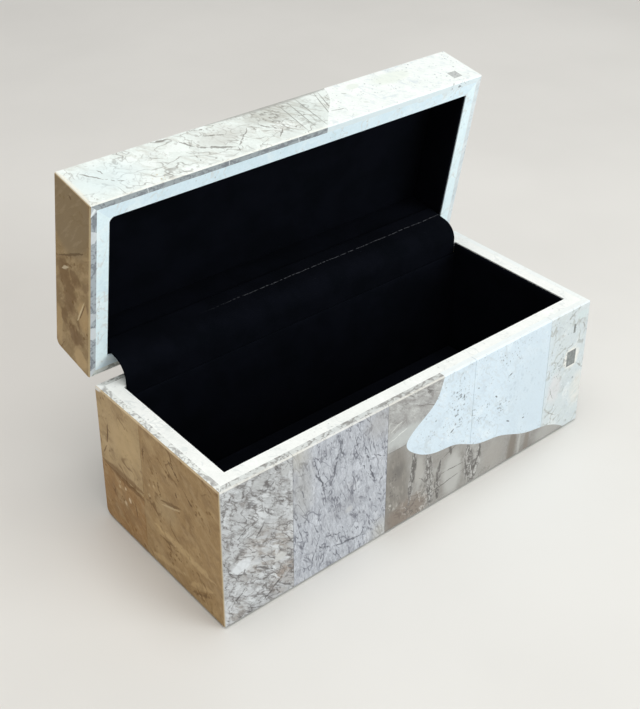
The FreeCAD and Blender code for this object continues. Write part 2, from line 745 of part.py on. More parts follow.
# Back of the base: two grey tiles and a white one, cut out for the hinges
back_slab = cut(base_slab(base.back), hinge_mortises)
back_seam = s.box_length - s.back_left_width
tile("back_left_tile", back_slab, region(base.back, back_seam + half_joint, end, below, above))
tile("back_middle_tile", back_slab, region(base.back, start, back_seam - half_joint, below, above), back_field)
tile("back_white_tile", back_slab, back_field)

# Lid: the wave runs up the front, over the top and down the back
lid_below = lid_rim - past
lid_above = lid_top + past
lid_chip_right = s.box_length - s.lid_insert_from_end
lid_chip_low = lid_rim + s.lid_insert_rise
lid_chip = region(
    lid.front,
    lid_chip_right - s.lid_insert_size,
    lid_chip_right,
    lid_chip_low,
    lid_chip_low + s.lid_insert_size,
)
lid_front_slab = lid_slab(lid.front)
keep("lid_front_grey_tile", cut(lid_front_slab, lid_front_field), in_lid=True)
tile("lid_front_white_tile", lid_front_slab, lid_front_field, lid_chip, in_lid=True)
tile("lid_front_insert", lid_front_slab, lid_chip, in_lid=True)
keep("lid_left_tile", lid_slab(lid.left), in_lid=True)
keep("lid_right_tile", lid_slab(lid.right), in_lid=True)
lid_back_slab = lid_slab(lid.back)
keep("lid_back_grey_tile", cut(lid_back_slab, lid_back_field), in_lid=True)
tile("lid_back_white_tile", lid_back_slab, lid_back_field, in_lid=True)

top_slab = common(
    lid_block,
    mitred(lid.top, as_size(0), slab, -half_depth, half_depth, slab - half_depth, half_depth - slab),
)
top_seam = s.lid_top_left_width
front_of_top = -half_depth - past
back_of_top = half_depth + past
top_left = region(lid.top, start, top_seam - half_joint, front_of_top, back_of_top)
tile("lid_top_left_tile", top_slab, top_left, in_lid=True)
top_middle = region(lid.top, top_seam + half_joint, end, front_of_top, back_of_top)
tile("lid_top_middle_tile", top_slab, top_middle, lid_top_field, in_lid=True)
tile("lid_top_white_tile", top_slab, lid_top_field, in_lid=True)

doc.recompute()

# Every object has to be sound before anything is written
for thing in doc.Objects:
    if "Invalid" in thing.State or "Error" in thing.State:
        raise RuntimeError(f"{thing.Label} failed: {thing.State}")
for label, thing in pieces.items():
    shape = thing.Shape
    if shape.isNull() or not shape.isValid() or not shape.Solids:
        raise RuntimeError(f"{label} has no sound solid")

os.makedirs("parts", exist_ok=True)
for label, thing in pieces.items():
    thing.Shape.exportStep(f"parts/{label}.step")
print(len(pieces), "pieces written")
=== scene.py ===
import json
import math

import bmesh
import bpy
from mathutils import Euler, Matrix, Vector, noise


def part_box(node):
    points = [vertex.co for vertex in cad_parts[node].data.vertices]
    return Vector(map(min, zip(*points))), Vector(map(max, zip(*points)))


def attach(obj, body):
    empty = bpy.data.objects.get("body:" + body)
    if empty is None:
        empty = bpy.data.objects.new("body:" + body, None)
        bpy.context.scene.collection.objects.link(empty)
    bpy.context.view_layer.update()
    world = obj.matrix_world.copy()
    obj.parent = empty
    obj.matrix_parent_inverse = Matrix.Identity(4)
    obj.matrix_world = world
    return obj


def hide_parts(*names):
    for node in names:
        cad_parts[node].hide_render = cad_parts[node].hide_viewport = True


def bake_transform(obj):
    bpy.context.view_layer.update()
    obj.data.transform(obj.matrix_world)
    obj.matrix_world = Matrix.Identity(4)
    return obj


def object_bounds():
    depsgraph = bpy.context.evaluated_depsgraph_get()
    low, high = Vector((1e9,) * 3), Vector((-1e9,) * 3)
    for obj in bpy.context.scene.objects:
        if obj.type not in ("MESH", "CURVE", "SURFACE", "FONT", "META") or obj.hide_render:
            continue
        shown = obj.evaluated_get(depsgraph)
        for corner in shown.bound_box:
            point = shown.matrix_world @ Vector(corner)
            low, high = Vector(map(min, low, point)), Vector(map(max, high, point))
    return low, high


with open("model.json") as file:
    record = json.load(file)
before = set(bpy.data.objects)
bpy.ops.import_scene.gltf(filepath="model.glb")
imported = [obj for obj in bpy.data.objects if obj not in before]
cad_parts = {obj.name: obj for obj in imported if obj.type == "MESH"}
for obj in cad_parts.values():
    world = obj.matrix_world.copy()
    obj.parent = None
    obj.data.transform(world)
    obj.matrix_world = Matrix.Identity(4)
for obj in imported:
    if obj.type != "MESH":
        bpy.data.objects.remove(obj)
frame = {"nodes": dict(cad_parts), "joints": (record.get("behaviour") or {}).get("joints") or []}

cad_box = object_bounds()

# Carcase boards
# Ten boards of plain pale softwood, glued into a base and a lid. Stone hides them outside and
# velvet inside, so only the beds cut for the hinges and the underside let them be seen.
MM = 0.001


def srgb(red, green, blue):
    """A colour as a screen shows it, 0 to 255, in the linear values that a shader takes."""
    parts = [part / 255 for part in (red, green, blue)]
    linear = [p / 12.92 if p <= 0.04045 else ((p + 0.055) / 1.055) ** 2.4 for p in parts]
    return (*linear, 1.0)


def fill(tree, node, sockets):
    """Fills a node's sockets, by title or number, or joins them to others."""
    for key, value in sockets.items():
        if isinstance(value, bpy.types.NodeSocket):
            tree.links.new(value, node.inputs[key])
        else:
            node.inputs[key].default_value = value


def put(tree, kind, sockets=None, **settings):
    """Puts a node in a tree, with its settings, and fills its sockets."""
    node = tree.nodes.new(kind)
    for key, value in settings.items():
        setattr(node, key, value)
    fill(tree, node, sockets or {})
    return node


def calc(tree, what, *values):
    """One step of arithmetic on numbers or sockets."""
    return put(tree, "ShaderNodeMath", dict(enumerate(values)), operation=what).outputs[0]


def calc_vector(tree, what, *values):
    """One step of arithmetic on vectors."""
    node = put(tree, "ShaderNodeVectorMath", dict(enumerate(values)), operation=what)
    gives_number = what in ("LENGTH", "DOT_PRODUCT", "DISTANCE")
    return node.outputs["Value" if gives_number else "Vector"]


def fade(tree, value, low, high):
    """A mask that is 0 at low and 1 at high, smooth between; low may be the larger."""
    sockets = {"Value": value, "From Min": low, "From Max": high}
    return put(tree, "ShaderNodeMapRange", sockets, interpolation_type="SMOOTHSTEP").outputs[0]


def cloud(tree, place, scale, detail=3.0, rough=0.55):
    """Soft noise from 0 to 1 over the place."""
    sockets = {"Vector": place, "Scale": scale, "Detail": detail, "Roughness": rough}
    return put(tree, "ShaderNodeTexNoise", sockets).outputs[0]


def over(tree, mask, under, top):
    """One colour laid over another where the mask is white."""
    return put(tree, "ShaderNodeMix", {0: mask, 6: under, 7: top}, data_type="RGBA").outputs[2]


def bump(tree, height, strength, depth):
    """A bumped normal from a height, depth in metres."""
    sockets = {"Height": height, "Strength": strength, "Distance": depth}
    return put(tree, "ShaderNodeBump", sockets).outputs[0]


def new_material(name):
    """An empty finish: the material, its node tree and its shader."""
    material = bpy.data.materials.new(name)
    material.use_nodes = True
    return material, material.node_tree, material.node_tree.nodes["Principled BSDF"]


def spaced(values):
    """Socket titles from words, where an underscore stands for a space."""
    return {title.replace("_", " "): value for title, value in values.items()}


def join(tree, shader, **sockets):
    """Leads colours and values into a shader's sockets."""
    fill(tree, shader, spaced(sockets))


def dress(material, *names):
    """Gives CAD nodes their finish."""
    for name in names:
        piece = frame["nodes"][name]
        if not piece.material_slots:
            piece.data.materials.append(None)
        for place in piece.material_slots:
            place.material = material


def board_finish():
    material, tree, shader = new_material("carcase_softwood")
    place = put(tree, "ShaderNodeTexCoord").outputs["Object"]
    along = calc_vector(tree, "MULTIPLY", place, (20.0, 260.0, 260.0))
    rings = cloud(tree, along, 1.0, 4.0, 0.6)
    pores = cloud(tree, along, 9.0, 2.0)
    tone = over(tree, fade(tree, rings, 0.3, 0.7), srgb(214, 186, 144), srgb(178, 142, 98))
    tone = over(tree, fade(tree, pores, 0.62, 0.75), tone, srgb(140, 106, 70))
    normal = bump(tree, pores, 0.4, 0.2 * MM)
    join(tree, shader, Base_Color=tone, Normal=normal, Roughness=0.7)
    return material


sides = ("front", "back", "left", "right")
dress(
    board_finish(),
    "base_bottom_board",
    "lid_top_board",
    *(f"base_{side}_board" for side in sides),
    *(f"lid_{side}_board" for side in sides),
)

# Felt pad
# A sheet of dark green wool felt, cut a little smaller than the base and glued under it, so that
# the stone doesn't scratch a table. Its cut edge is soft and the corners are clipped round.
FELT_CORNER = 5 * MM
FELT_SOFT = 0.3 * MM
CORNER_STEPS = 8


def new_piece(name, shape, material, smooth=False):
    """A mesh piece with its finish."""
    mesh = bpy.data.meshes.new(name)
    for face in shape.faces:
        face.smooth = smooth
    shape.normal_update()
    shape.to_mesh(mesh)
    shape.free()
    mesh.materials.append(material)
    piece = bpy.data.objects.new(name, mesh)
    bpy.context.scene.collection.objects.link(piece)
    return piece


def felt_finish():
    material, tree, shader = new_material("wool_felt")
    place = put(tree, "ShaderNodeTexCoord").outputs["Object"]
    fibres = cloud(tree, place, 1400.0, 4.0, 0.7)
    tufts = cloud(tree, place, 220.0, 3.0)
    tone = over(tree, fade(tree, tufts, 0.35, 0.65), srgb(28, 42, 33), srgb(42, 60, 48))
    tone = over(tree, fade(tree, fibres, 0.6, 0.8), tone, srgb(70, 86, 75))
    join(tree, shader, Base_Color=tone, Normal=bump(tree, fibres, 0.6, 0.3 * MM))
    join(tree, shader, Roughness=0.95, Sheen_Weight=0.2, Sheen_Roughness=0.5)
    return material


def ring(shape, low, high, inset, height):
    """A level loop of points round a rectangle with rounded corners."""
    points = []
    radius = FELT_CORNER - inset
    left, front = low.x + inset + radius, low.y + inset + radius
    right, back = high.x - inset - radius, high.y - inset - radius
    for turn, (x, y) in enumerate(((right, back), (left, back), (left, front), (right, front))):
        for step in range(CORNER_STEPS + 1):
            angle = math.pi / 2 * (turn + step / CORNER_STEPS)
            point = (x + radius * math.cos(angle), y + radius * math.sin(angle), height)
            points.append(shape.verts.new(point))
    return points


def bridge(shape, loops, closed=True):
    """Walls between loops of points, one after the other."""
    for lower, upper in zip(loops, loops[1:]):
        count = len(lower)
        for index in range(count if closed else count - 1):
            after = (index + 1) % count
            shape.faces.new((lower[index], lower[after], upper[after], upper[index]))


low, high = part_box("base_felt_pad")
shape = bmesh.new()
loops = [
    ring(shape, low, high, FELT_SOFT, low.z),
    ring(shape, low, high, 0.0, low.z + FELT_SOFT),
    ring(shape, low, high, 0.0, high.z - FELT_SOFT),
    ring(shape, low, high, FELT_SOFT, high.z),
]
bridge(shape, loops)
shape.faces.new(loops[0][::-1])
shape.faces.new(loops[-1])
felt = new_piece("felt_pad", shape, felt_finish())
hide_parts("base_felt_pad")
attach(felt, "base")

# Breccia tile, first on the front
# A sawn and polished slab of broken stone, 4.5 mm thick, glued to the front board: pale angular
# fragments in a lavender-grey ground, browner low down, with dark cracks between them.
hinge = frame["joints"][0]
PIN = Vector(hinge["pos_m"])
OPEN = math.radians(hinge["range_deg"][1] - hinge["range_deg"][0])
NUMBER, VECTOR, COLOUR = "NodeSocketFloat", "NodeSocketVector", "NodeSocketColor"
PLACED = {"Place": (VECTOR, (0, 0, 0))}
LEANT = PLACED | {"Lean": (VECTOR, (0, 0, 0)), "Stretch": (NUMBER, 1.0)}
THREE_TONES = {title: (COLOUR, (0.5, 0.5, 0.5, 1)) for title in ("Deep", "Middle", "Pale")}
TWO_ENDS = {"From": (VECTOR, (0, 0, 0)), "To": (VECTOR, (1, 0, 0))}
ROUND_POINT = {"Middle": (VECTOR, (0, 0, 0)), "Reach": (VECTOR, (5, 5, 5))}
MASK = {"Mask": NUMBER}
STROKE_BENDS, PATCH_BENDS, STREAK_BENDS = 6.0, 7.0, 9.0
STEP_SOFT = 0.06


def numbers(**values):
    """Number inputs of a node group, each with its usual value."""
    return {title: (NUMBER, value) for title, value in values.items()}


def node_group(inputs, outputs):
    """Turns the function below it into a shader node group with named sockets."""

    def make(build):
        tree = bpy.data.node_groups.new(build.__name__.removesuffix("_group"), "ShaderNodeTree")
        for title, (kind, value) in inputs.items():
            tree.interface.new_socket(title, in_out="INPUT", socket_type=kind).default_value = value
        for title, kind in outputs.items():
            tree.interface.new_socket(title, in_out="OUTPUT", socket_type=kind)
        made = build(tree, tree.nodes.new("NodeGroupInput").outputs)
        gives = tree.nodes.new("NodeGroupOutput").inputs
        for title, socket in made.items():
            tree.links.new(socket, gives[title])
        return tree

    return make


def use(tree, group, **values):
    """What a node group gives in a tree, with its inputs filled by name."""
    return put(tree, "ShaderNodeGroup", spaced(values), node_tree=group).outputs


def turned(tree, vector, angle, **centre):
    """A vector turned as the lid turns."""
    sockets = {"Vector": vector, "Angle": angle, **centre}
    return put(tree, "ShaderNodeVectorRotate", sockets, rotation_type="X_AXIS").outputs[0]


def scaled(tree, vector, scale):
    """A vector made longer or shorter."""
    sockets = {0: vector, "Scale": scale}
    return put(tree, "ShaderNodeVectorMath", sockets, operation="SCALE").outputs[0]


def per(tree, size):
    """One over a size: the scale of a texture with features of that size."""
    return calc(tree, "DIVIDE", 1.0, size)


def wander(tree, place, size, reach):
    """The place pushed about by noise, so that lines aren't straight."""
    sockets = {"Vector": place, "Scale": per(tree, size), "Detail": 3.0, "Roughness": 0.6}
    push = put(tree, "ShaderNodeTexNoise", sockets).outputs["Color"]
    push = calc_vector(tree, "SUBTRACT", push, (0.5, 0.5, 0.5))
    return calc_vector(tree, "ADD", place, scaled(tree, push, reach))


def leant(tree, given):
    """The given place turned to its lean and pressed together along it."""
    sockets = {"Vector": given["Place"], "Rotation": given["Lean"]}
    turn = put(tree, "ShaderNodeVectorRotate", sockets, rotation_type="EULER_XYZ").outputs[0]
    press = {0: 1.0, 1: 1.0, 2: per(tree, given["Stretch"])}
    return calc_vector(tree, "MULTIPLY", turn, put(tree, "ShaderNodeCombineXYZ", press).outputs[0])


def passed(tree, value, limit):
    """A mask that turns white, softly, where the value passes a limit."""
    low = calc(tree, "SUBTRACT", limit, STEP_SOFT)
    return fade(tree, value, low, calc(tree, "ADD", limit, STEP_SOFT))


def broken(tree, mask, place, scale, kept):
    """A mask with gaps in it: kept is the share that stays."""
    limit = calc(tree, "SUBTRACT", 0.8, calc(tree, "MULTIPLY", kept, 0.6))
    gaps = passed(tree, cloud(tree, place, scale, 3.0, 0.6), limit)
    return calc(tree, "MULTIPLY", mask, gaps)


def core(tree, apart, reach, share):
    """A mask that is white within a share of the reach and fades out to the whole of it."""
    return fade(tree, apart, reach, calc(tree, "MULTIPLY", reach, share))


def cells(tree, place, size, feature="F1"):
    """A net of cells of about that size."""
    sockets = {"Vector": place, "Scale": per(tree, size)}
    return put(tree, "ShaderNodeTexVoronoi", sockets, feature=feature).outputs


def to_edge(tree, place, size):
    """The distance to the nearest edge in a net of cells."""
    return calc(tree, "MULTIPLY", cells(tree, place, size, "DISTANCE_TO_EDGE")[0], size)


def drawn(tree, net):
    """Numbers from 0 to 1 that each cell of a net draws for itself."""
    return put(tree, "ShaderNodeSeparateColor", {0: net["Color"]}).outputs


@node_group({"Lid turn": (NUMBER, 0.0)}, {"Place": VECTOR, "Arris": NUMBER, "Sawn edge": NUMBER})
def box_place_group(tree, given):
    """Millimetres from the closed box's front left foot, and where the stone turns an edge."""
    seen = put(tree, "ShaderNodeTexCoord").outputs
    place = turned(tree, seen["Object"], given["Lid turn"], Center=PIN)
    foot = tuple(-part / MM for part in cad_box[0])
    place = calc_vector(tree, "MULTIPLY_ADD", place, (1 / MM, 1 / MM, 1 / MM), foot)
    facing = calc_vector(tree, "ABSOLUTE", turned(tree, seen["Normal"], given["Lid turn"]))
    parts = put(tree, "ShaderNodeSeparateXYZ", {0: facing}).outputs
    most = calc(tree, "MAXIMUM", calc(tree, "MAXIMUM", parts[0], parts[1]), parts[2])
    arris = fade(tree, most, 0.97, 0.86)
    return {"Place": place, "Arris": arris, "Sawn edge": fade(tree, parts[2], 0.9, 0.97)}


@node_group(PLACED | numbers(Size=15.0, Grain=0.2) | THREE_TONES, {"Colour": COLOUR})
def mottle_group(tree, given):
    """Cloudy stone of three colours, with a grain."""
    place = wander(tree, given["Place"], given["Size"], given["Size"])
    broad = cloud(tree, place, per(tree, given["Size"]), 5.0, 0.62)
    tone = over(tree, fade(tree, broad, 0.3, 0.48), given["Deep"], given["Middle"])
    tone = over(tree, fade(tree, broad, 0.5, 0.68), tone, given["Pale"])
    fine = calc(tree, "SUBTRACT", cloud(tree, given["Place"], 0.6, 4.0, 0.75), 0.5)
    shade = calc(tree, "MULTIPLY_ADD", calc(tree, "MULTIPLY", fine, given["Grain"]), 4.0, 1.0)
    return {"Colour": scaled(tree, tone, shade)}


@node_group(LEANT | numbers(Cell=6.0, Width=0.5, Wander=3.0, Kept=0.5), MASK)
def crazing_group(tree, given):
    """A net of cracks, broken off in places."""
    bend = calc(tree, "MULTIPLY", given["Cell"], 0.5)
    place = wander(tree, leant(tree, given), bend, given["Wander"])
    lines = core(tree, to_edge(tree, place, given["Cell"]), given["Width"], 0.2)
    spread = calc(tree, "MULTIPLY", per(tree, given["Cell"]), 0.6)
    return {"Mask": broken(tree, lines, given["Place"], spread, given["Kept"])}


@node_group(LEANT | numbers(Size=12.0, Width=0.03, Kept=0.5), MASK)
def veining_group(tree, given):
    """Thin veins that flow and break off: lines of one height in a stretched cloud."""
    scale = per(tree, given["Size"])
    bend = calc(tree, "MULTIPLY", given["Size"], 0.4)
    place = wander(tree, leant(tree, given), given["Size"], bend)
    height = calc(tree, "SUBTRACT", cloud(tree, place, scale, 2.0, 0.5), 0.5)
    lines = core(tree, calc(tree, "ABSOLUTE", height), given["Width"], 0.2)
    spread = calc(tree, "MULTIPLY", scale, 0.6)
    return {"Mask": broken(tree, lines, given["Place"], spread, given["Kept"])}


@node_group(LEANT | numbers(Cell=8.0, Share=0.4, Wander=2.0, Gap=0.8), MASK | {"Tone": NUMBER})
def fragments_group(tree, given):
    """Angular broken pieces, some of the cells of a net, each with its own tone."""
    bend = calc(tree, "MULTIPLY", given["Cell"], 0.5)
    place = wander(tree, leant(tree, given), bend, given["Wander"])
    draw = drawn(tree, cells(tree, place, given["Cell"]))
    chosen = calc(tree, "LESS_THAN", draw[0], given["Share"])
    bare = calc(tree, "MULTIPLY", given["Gap"], 0.3)
    inside = fade(tree, to_edge(tree, place, given["Cell"]), bare, given["Gap"])
    return {"Mask": calc(tree, "MULTIPLY", chosen, inside), "Tone": draw[1]}


@node_group(PLACED | numbers(Cell=2.0, Size=0.5, Cloud=20.0, Kept=0.5), MASK)
def specks_group(tree, given):
    """Small pits and grains of different sizes, gathered in clouds."""
    place = wander(tree, given["Place"], given["Cell"], given["Size"])
    net = cells(tree, place, given["Cell"])
    apart = calc(tree, "MULTIPLY", net["Distance"], given["Cell"])
    size = calc(tree, "MULTIPLY", calc(tree, "POWER", drawn(tree, net)[0], 2.0), given["Size"])
    spread = per(tree, given["Cloud"])
    dots = core(tree, apart, size, 0.4)
    return {"Mask": broken(tree, dots, given["Place"], spread, given["Kept"])}


@node_group(PLACED | TWO_ENDS | numbers(Width=1.0, Wander=2.0, Kept=0.7), MASK)
def stroke_group(tree, given):
    """One vein or crack from a point to another, thinner to its ends."""
    place = wander(tree, given["Place"], STROKE_BENDS, given["Wander"])
    run = calc_vector(tree, "SUBTRACT", given["To"], given["From"])
    out = calc_vector(tree, "SUBTRACT", place, given["From"])
    gone = calc_vector(tree, "DOT_PRODUCT", out, run)
    along = calc(tree, "DIVIDE", gone, calc_vector(tree, "DOT_PRODUCT", run, run))
    along = put(tree, "ShaderNodeClamp", {0: along}).outputs[0]
    apart = calc_vector(tree, "DISTANCE", out, scaled(tree, run, along))
    half = calc(tree, "SUBTRACT", calc(tree, "MULTIPLY", along, 2.0), 1.0)
    thin = calc(tree, "SUBTRACT", 1.15, calc(tree, "MULTIPLY", half, half))
    reach = calc(tree, "MULTIPLY", calc(tree, "MULTIPLY", given["Width"], 0.5), thin)
    line = core(tree, apart, reach, 0.35)
    return {"Mask": broken(tree, line, given["Place"], 0.45, given["Kept"])}


@node_group(PLACED | ROUND_POINT | numbers(Soft=0.6, Wander=4.0), MASK)
def patch_group(tree, given):
    """One soft cloudy patch round a point."""
    place = wander(tree, given["Place"], PATCH_BENDS, given["Wander"])
    out = calc_vector(tree, "SUBTRACT", place, given["Middle"])
    apart = calc_vector(tree, "LENGTH", calc_vector(tree, "DIVIDE", out, given["Reach"]))
    return {"Mask": fade(tree, apart, 1.0, calc(tree, "SUBTRACT", 1.0, given["Soft"]))}


@node_group(LEANT | numbers(Breadth=2.0, Share=0.4), MASK)
def streaks_group(tree, given):
    """Long stretched bands that lean to one side."""
    place = wander(tree, leant(tree, given), STREAK_BENDS, given["Breadth"])
    bands = cloud(tree, place, per(tree, given["Breadth"]), 3.0, 0.6)
    limit = calc(tree, "SUBTRACT", 0.75, calc(tree, "MULTIPLY", given["Share"], 0.5))
    return {"Mask": passed(tree, bands, limit)}


@node_group(
    PLACED | numbers(Sunk=0.0, Arris=0.0, Dullness=0.3), {"Roughness": NUMBER, "Height": NUMBER}
)
def polish_group(tree, given):
    """The ground face of a stone: gloss that varies, dull marks, and its height for the bump."""
    haze = cloud(tree, given["Place"], 0.05, 4.0, 0.6)
    haze = calc(tree, "MULTIPLY", calc(tree, "SUBTRACT", haze, 0.5), 0.3)
    rough = calc(tree, "ADD", given["Dullness"], haze)
    for mark, dull in (("Sunk", 0.35), ("Arris", 0.2)):
        rough = calc(tree, "ADD", rough, calc(tree, "MULTIPLY", given[mark], dull))
    fine = calc(tree, "MULTIPLY", cloud(tree, given["Place"], 2.5, 3.0), 0.25)
    wave = calc(tree, "MULTIPLY", cloud(tree, given["Place"], 0.08, 2.0), 0.6)
    height = calc(tree, "SUBTRACT", calc(tree, "ADD", fine, wave), given["Sunk"])
    return {"Roughness": rough, "Height": height}


class Stone:
    """A polished stone: a ground, marks laid over it one by one, and pale arrises,
    partly wear and partly painted highlight.

    Places and sizes are in millimetres from the closed box's front left foot. Leans are in
    degrees, and colours are as a screen shows them.
    """

    def __init__(self, name, deep, middle, pale, size, lid=False, face="front", grain=0.2):
        self.material, self.tree, self.shader = new_material(name)
        self.box = use(self.tree, box_place_group, Lid_turn=OPEN if lid else 0.0)
        self.face = face
        self.sunk = None
        tones = {"Deep": srgb(*deep), "Middle": srgb(*middle), "Pale": srgb(*pale)}
        self.colour = self.on(mottle_group, Size=size, Grain=grain, **tones)["Colour"]

    def on(self, group, **values):
        """What a node group gives from the place on the box."""
        return use(self.tree, group, Place=self.box["Place"], **values)

    def lean(self, degrees):
        """A lean from upright, in the plane of the stone's shown face."""
        turn = math.radians(degrees)
        leans = {"front": (0, turn, 0), "end": (turn, 0, 0), "top": (math.pi / 2, turn, 0)}
        return leans[self.face]

    def lay(self, mask, colour, strength=1.0, sunk=0.0, within=None):
        """Lays a colour over the stone, and sinks it below the polished face."""
        if within is not None:
            mask = calc(self.tree, "MULTIPLY", mask, within)
        if isinstance(colour, tuple):
            colour = srgb(*colour)
        amount = calc(self.tree, "MULTIPLY", mask, strength)
        self.colour = over(self.tree, amount, self.colour, colour)
        if sunk:
            dent = calc(self.tree, "MULTIPLY", mask, sunk)
            self.sunk = calc(self.tree, "MAXIMUM", self.sunk, dent) if self.sunk else dent

    def area(self, middle, reach, soft=0.6, wandering=4.0):
        """The mask of a placed patch."""
        return self.on(patch_group, Middle=middle, Reach=reach, Soft=soft, Wander=wandering)["Mask"]

    def line(self, start, end, width, wandering=3.0, kept=0.8):
        """The mask of a placed stroke."""
        run = {"From": start, "To": end, "Width": width}
        return self.on(stroke_group, **run, Wander=wandering, Kept=kept)["Mask"]

    def patch(self, middle, reach, colour, strength=0.6, soft=0.6, wandering=4.0):
        """One soft patch of colour."""
        self.lay(self.area(middle, reach, soft, wandering), colour, strength)

    def stroke(self, start, end, width, colour, strength=0.8, wandering=3.0, kept=0.8, sunk=0.3):
        """One vein, crack or streak from a point to another."""
        self.lay(self.line(start, end, width, wandering, kept), colour, strength, sunk)

    def crazing(
        self, cell, width, colour, strength=0.7, wandering=3.0, kept=0.5,
        lean=0, stretch=1.0, within=None,
    ):
        """A net of cracks."""
        run = {"Lean": self.lean(lean), "Stretch": stretch, "Wander": wandering}
        made = self.on(crazing_group, Cell=cell, Width=width, Kept=kept, **run)
        self.lay(made["Mask"], colour, strength, 0.4, within)

    def veining(self, size, width, colour, strength=0.7, kept=0.5, lean=0, stretch=2.0, within=None):
        """Thin flowing veins; the width is a share of the cloud that they run in."""
        run = {"Lean": self.lean(lean), "Stretch": stretch}
        made = self.on(veining_group, Size=size, Width=width, Kept=kept, **run)
        self.lay(made["Mask"], colour, strength, 0.3, within)

    def fragments(
        self, cell, share, dull, bright, strength=0.9, wandering=2.0, gap=0.8,
        lean=0, stretch=1.0, within=None,
    ):
        """Broken pieces, each with a tone between dull and bright."""
        run = {"Lean": self.lean(lean), "Stretch": stretch, "Wander": wandering}
        made = self.on(fragments_group, Cell=cell, Share=share, Gap=gap, **run)
        tone = over(self.tree, made["Tone"], srgb(*dull), srgb(*bright))
        self.lay(made["Mask"], tone, strength, 0.0, within)

    def specks(self, cell, size, colour, strength=0.7, gathered=20.0, kept=0.5, within=None):
        """Small pits, gathered in clouds of about that size."""
        made = self.on(specks_group, Cell=cell, Size=size, Cloud=gathered, Kept=kept)
        self.lay(made["Mask"], colour, strength, 0.6, within)

    def streaks(self, breadth, length, lean, share, colour, strength=0.6, within=None):
        """Long bands that cover a share of the stone."""
        run = {"Lean": self.lean(lean), "Stretch": length / breadth}
        made = self.on(streaks_group, Breadth=breadth, Share=share, **run)
        self.lay(made["Mask"], colour, strength, 0.0, within)

    def plain_rim(self, colour, share=0.75):
        """The tile's thickness where it shows in the rim, honed to one colour."""
        self.lay(self.box["Sawn edge"], colour, share)

    def sawn_rim(self, colour, fleck, share=0.8):
        """The tile's thickness where it shows in the rim: honed, paler, with flecks."""
        sawn = self.box["Sawn edge"]
        self.plain_rim(colour, share)
        self.veining(8.0, 0.06, fleck, 0.75, 0.6, 60, 1.5, sawn)
        self.veining(4.5, 0.05, fleck, 0.7, 0.55, -30, 1.5, sawn)
        self.specks(2.2, 1.5, fleck, 0.75, 9.0, 0.62, sawn)

    def finish(self, dullness, arris, wear_and_highlight=0.5, shine=0.35):
        """Pale arrises, partly wear and partly painted highlight; the gloss and the bump.
        Gives the finished material.
        """
        # Paler arrises: partly wear, partly a painted highlight on the edges.
        self.lay(self.box["Arris"], arris, wear_and_highlight)
        sunk = {"Sunk": self.sunk} if self.sunk else {}
        face = self.on(polish_group, Arris=self.box["Arris"], Dullness=dullness, **sunk)
        normal = bump(self.tree, face["Height"], 0.35, 0.25 * MM)
        join(self.tree, self.shader, Base_Color=self.colour, Normal=normal)
        join(self.tree, self.shader, Roughness=face["Roughness"], Specular_IOR_Level=shine)
        return self.material


CRACK = (88, 84, 84)
RIM_GREY = (217, 221, 218)
RIM_FLECK = (134, 131, 128)
ARRIS_CREAM = (224, 222, 212)
breccia = Stone("breccia_stone", (136, 132, 130), (176, 177, 178), (202, 204, 206), 9, grain=0.3)
breccia.patch((30, 0, 42), (28, 12, 22), (152, 141, 130), 0.55)
breccia.patch((44, 0, 12), (16, 12, 18), (142, 124, 108), 0.7)
breccia.patch((8, 0, 8), (12, 12, 10), (150, 141, 132), 0.55)
breccia.streaks(3.2, 16, 60, 0.42, (206, 209, 211), 0.6)
breccia.streaks(2.2, 9, 45, 0.34, (126, 121, 119), 0.6)
for cell, share, wandering, gap in ((11.0, 0.36, 9.0, 2.0), (6.0, 0.34, 5.0, 1.2), (3.4, 0.3, 2.6, 0.7)):
    breccia.fragments(cell, share, (176, 177, 179), (216, 218, 220), 0.62, wandering, gap, 50, 1.7)
    breccia.crazing(cell, 0.07 * cell, (100, 95, 93), 0.65, wandering, 0.42, 50, 1.7)
breccia.veining(8, 0.026, CRACK, 0.75, 0.48, 45, 2.6)
breccia.veining(5, 0.032, (98, 93, 91), 0.75, 0.48, 55, 3.0)
breccia.patch((13, 0, 40), (8, 6, 5.5), (218, 221, 224), 0.8, 0.35, 7.0)
breccia.patch((40, 0, 31), (5, 6, 4), (204, 204, 202), 0.8, 0.35, 5.0)
breccia.patch((45, 0, 92), (4, 6, 5), (186, 187, 187), 0.8, 0.35, 3.0)
breccia.patch((26, 0, 92), (6, 6, 5), (182, 183, 183), 0.8, 0.35, 4.0)
for start, end, width in (
    ((3, 0, 40), (14, 0, 33), 1.0),
    ((20, 0, 36), (38, 0, 22), 1.4),
    ((2, 0, 58), (22, 0, 66), 0.9),
    ((18, 0, 98), (14, 0, 84), 0.9),
    ((9, 0, 97), (4, 0, 84), 0.9),
    ((22, 0, 52), (30, 0, 64), 1.2),
    ((32, 0, 84), (48, 0, 96), 0.9),
    ((4, 0, 12), (16, 0, 24), 1.1),
    ((26, 0, 4), (44, 0, 18), 1.2),
):
    breccia.stroke(start, end, 1.25 * width, CRACK, 0.85, 5.0)
breccia.sawn_rim(RIM_GREY, RIM_FLECK)
dress(breccia.finish(0.3, ARRIS_CREAM, 0.55), "front_breccia_tile")

# Veined tile, second on the front
# A slab of the same lavender-grey stone where it isn't broken up: steep dark veins that run
# together in a V, curved cracks low down, and beige corners. It is glued edge to edge.
VEIN = (84, 86, 94)


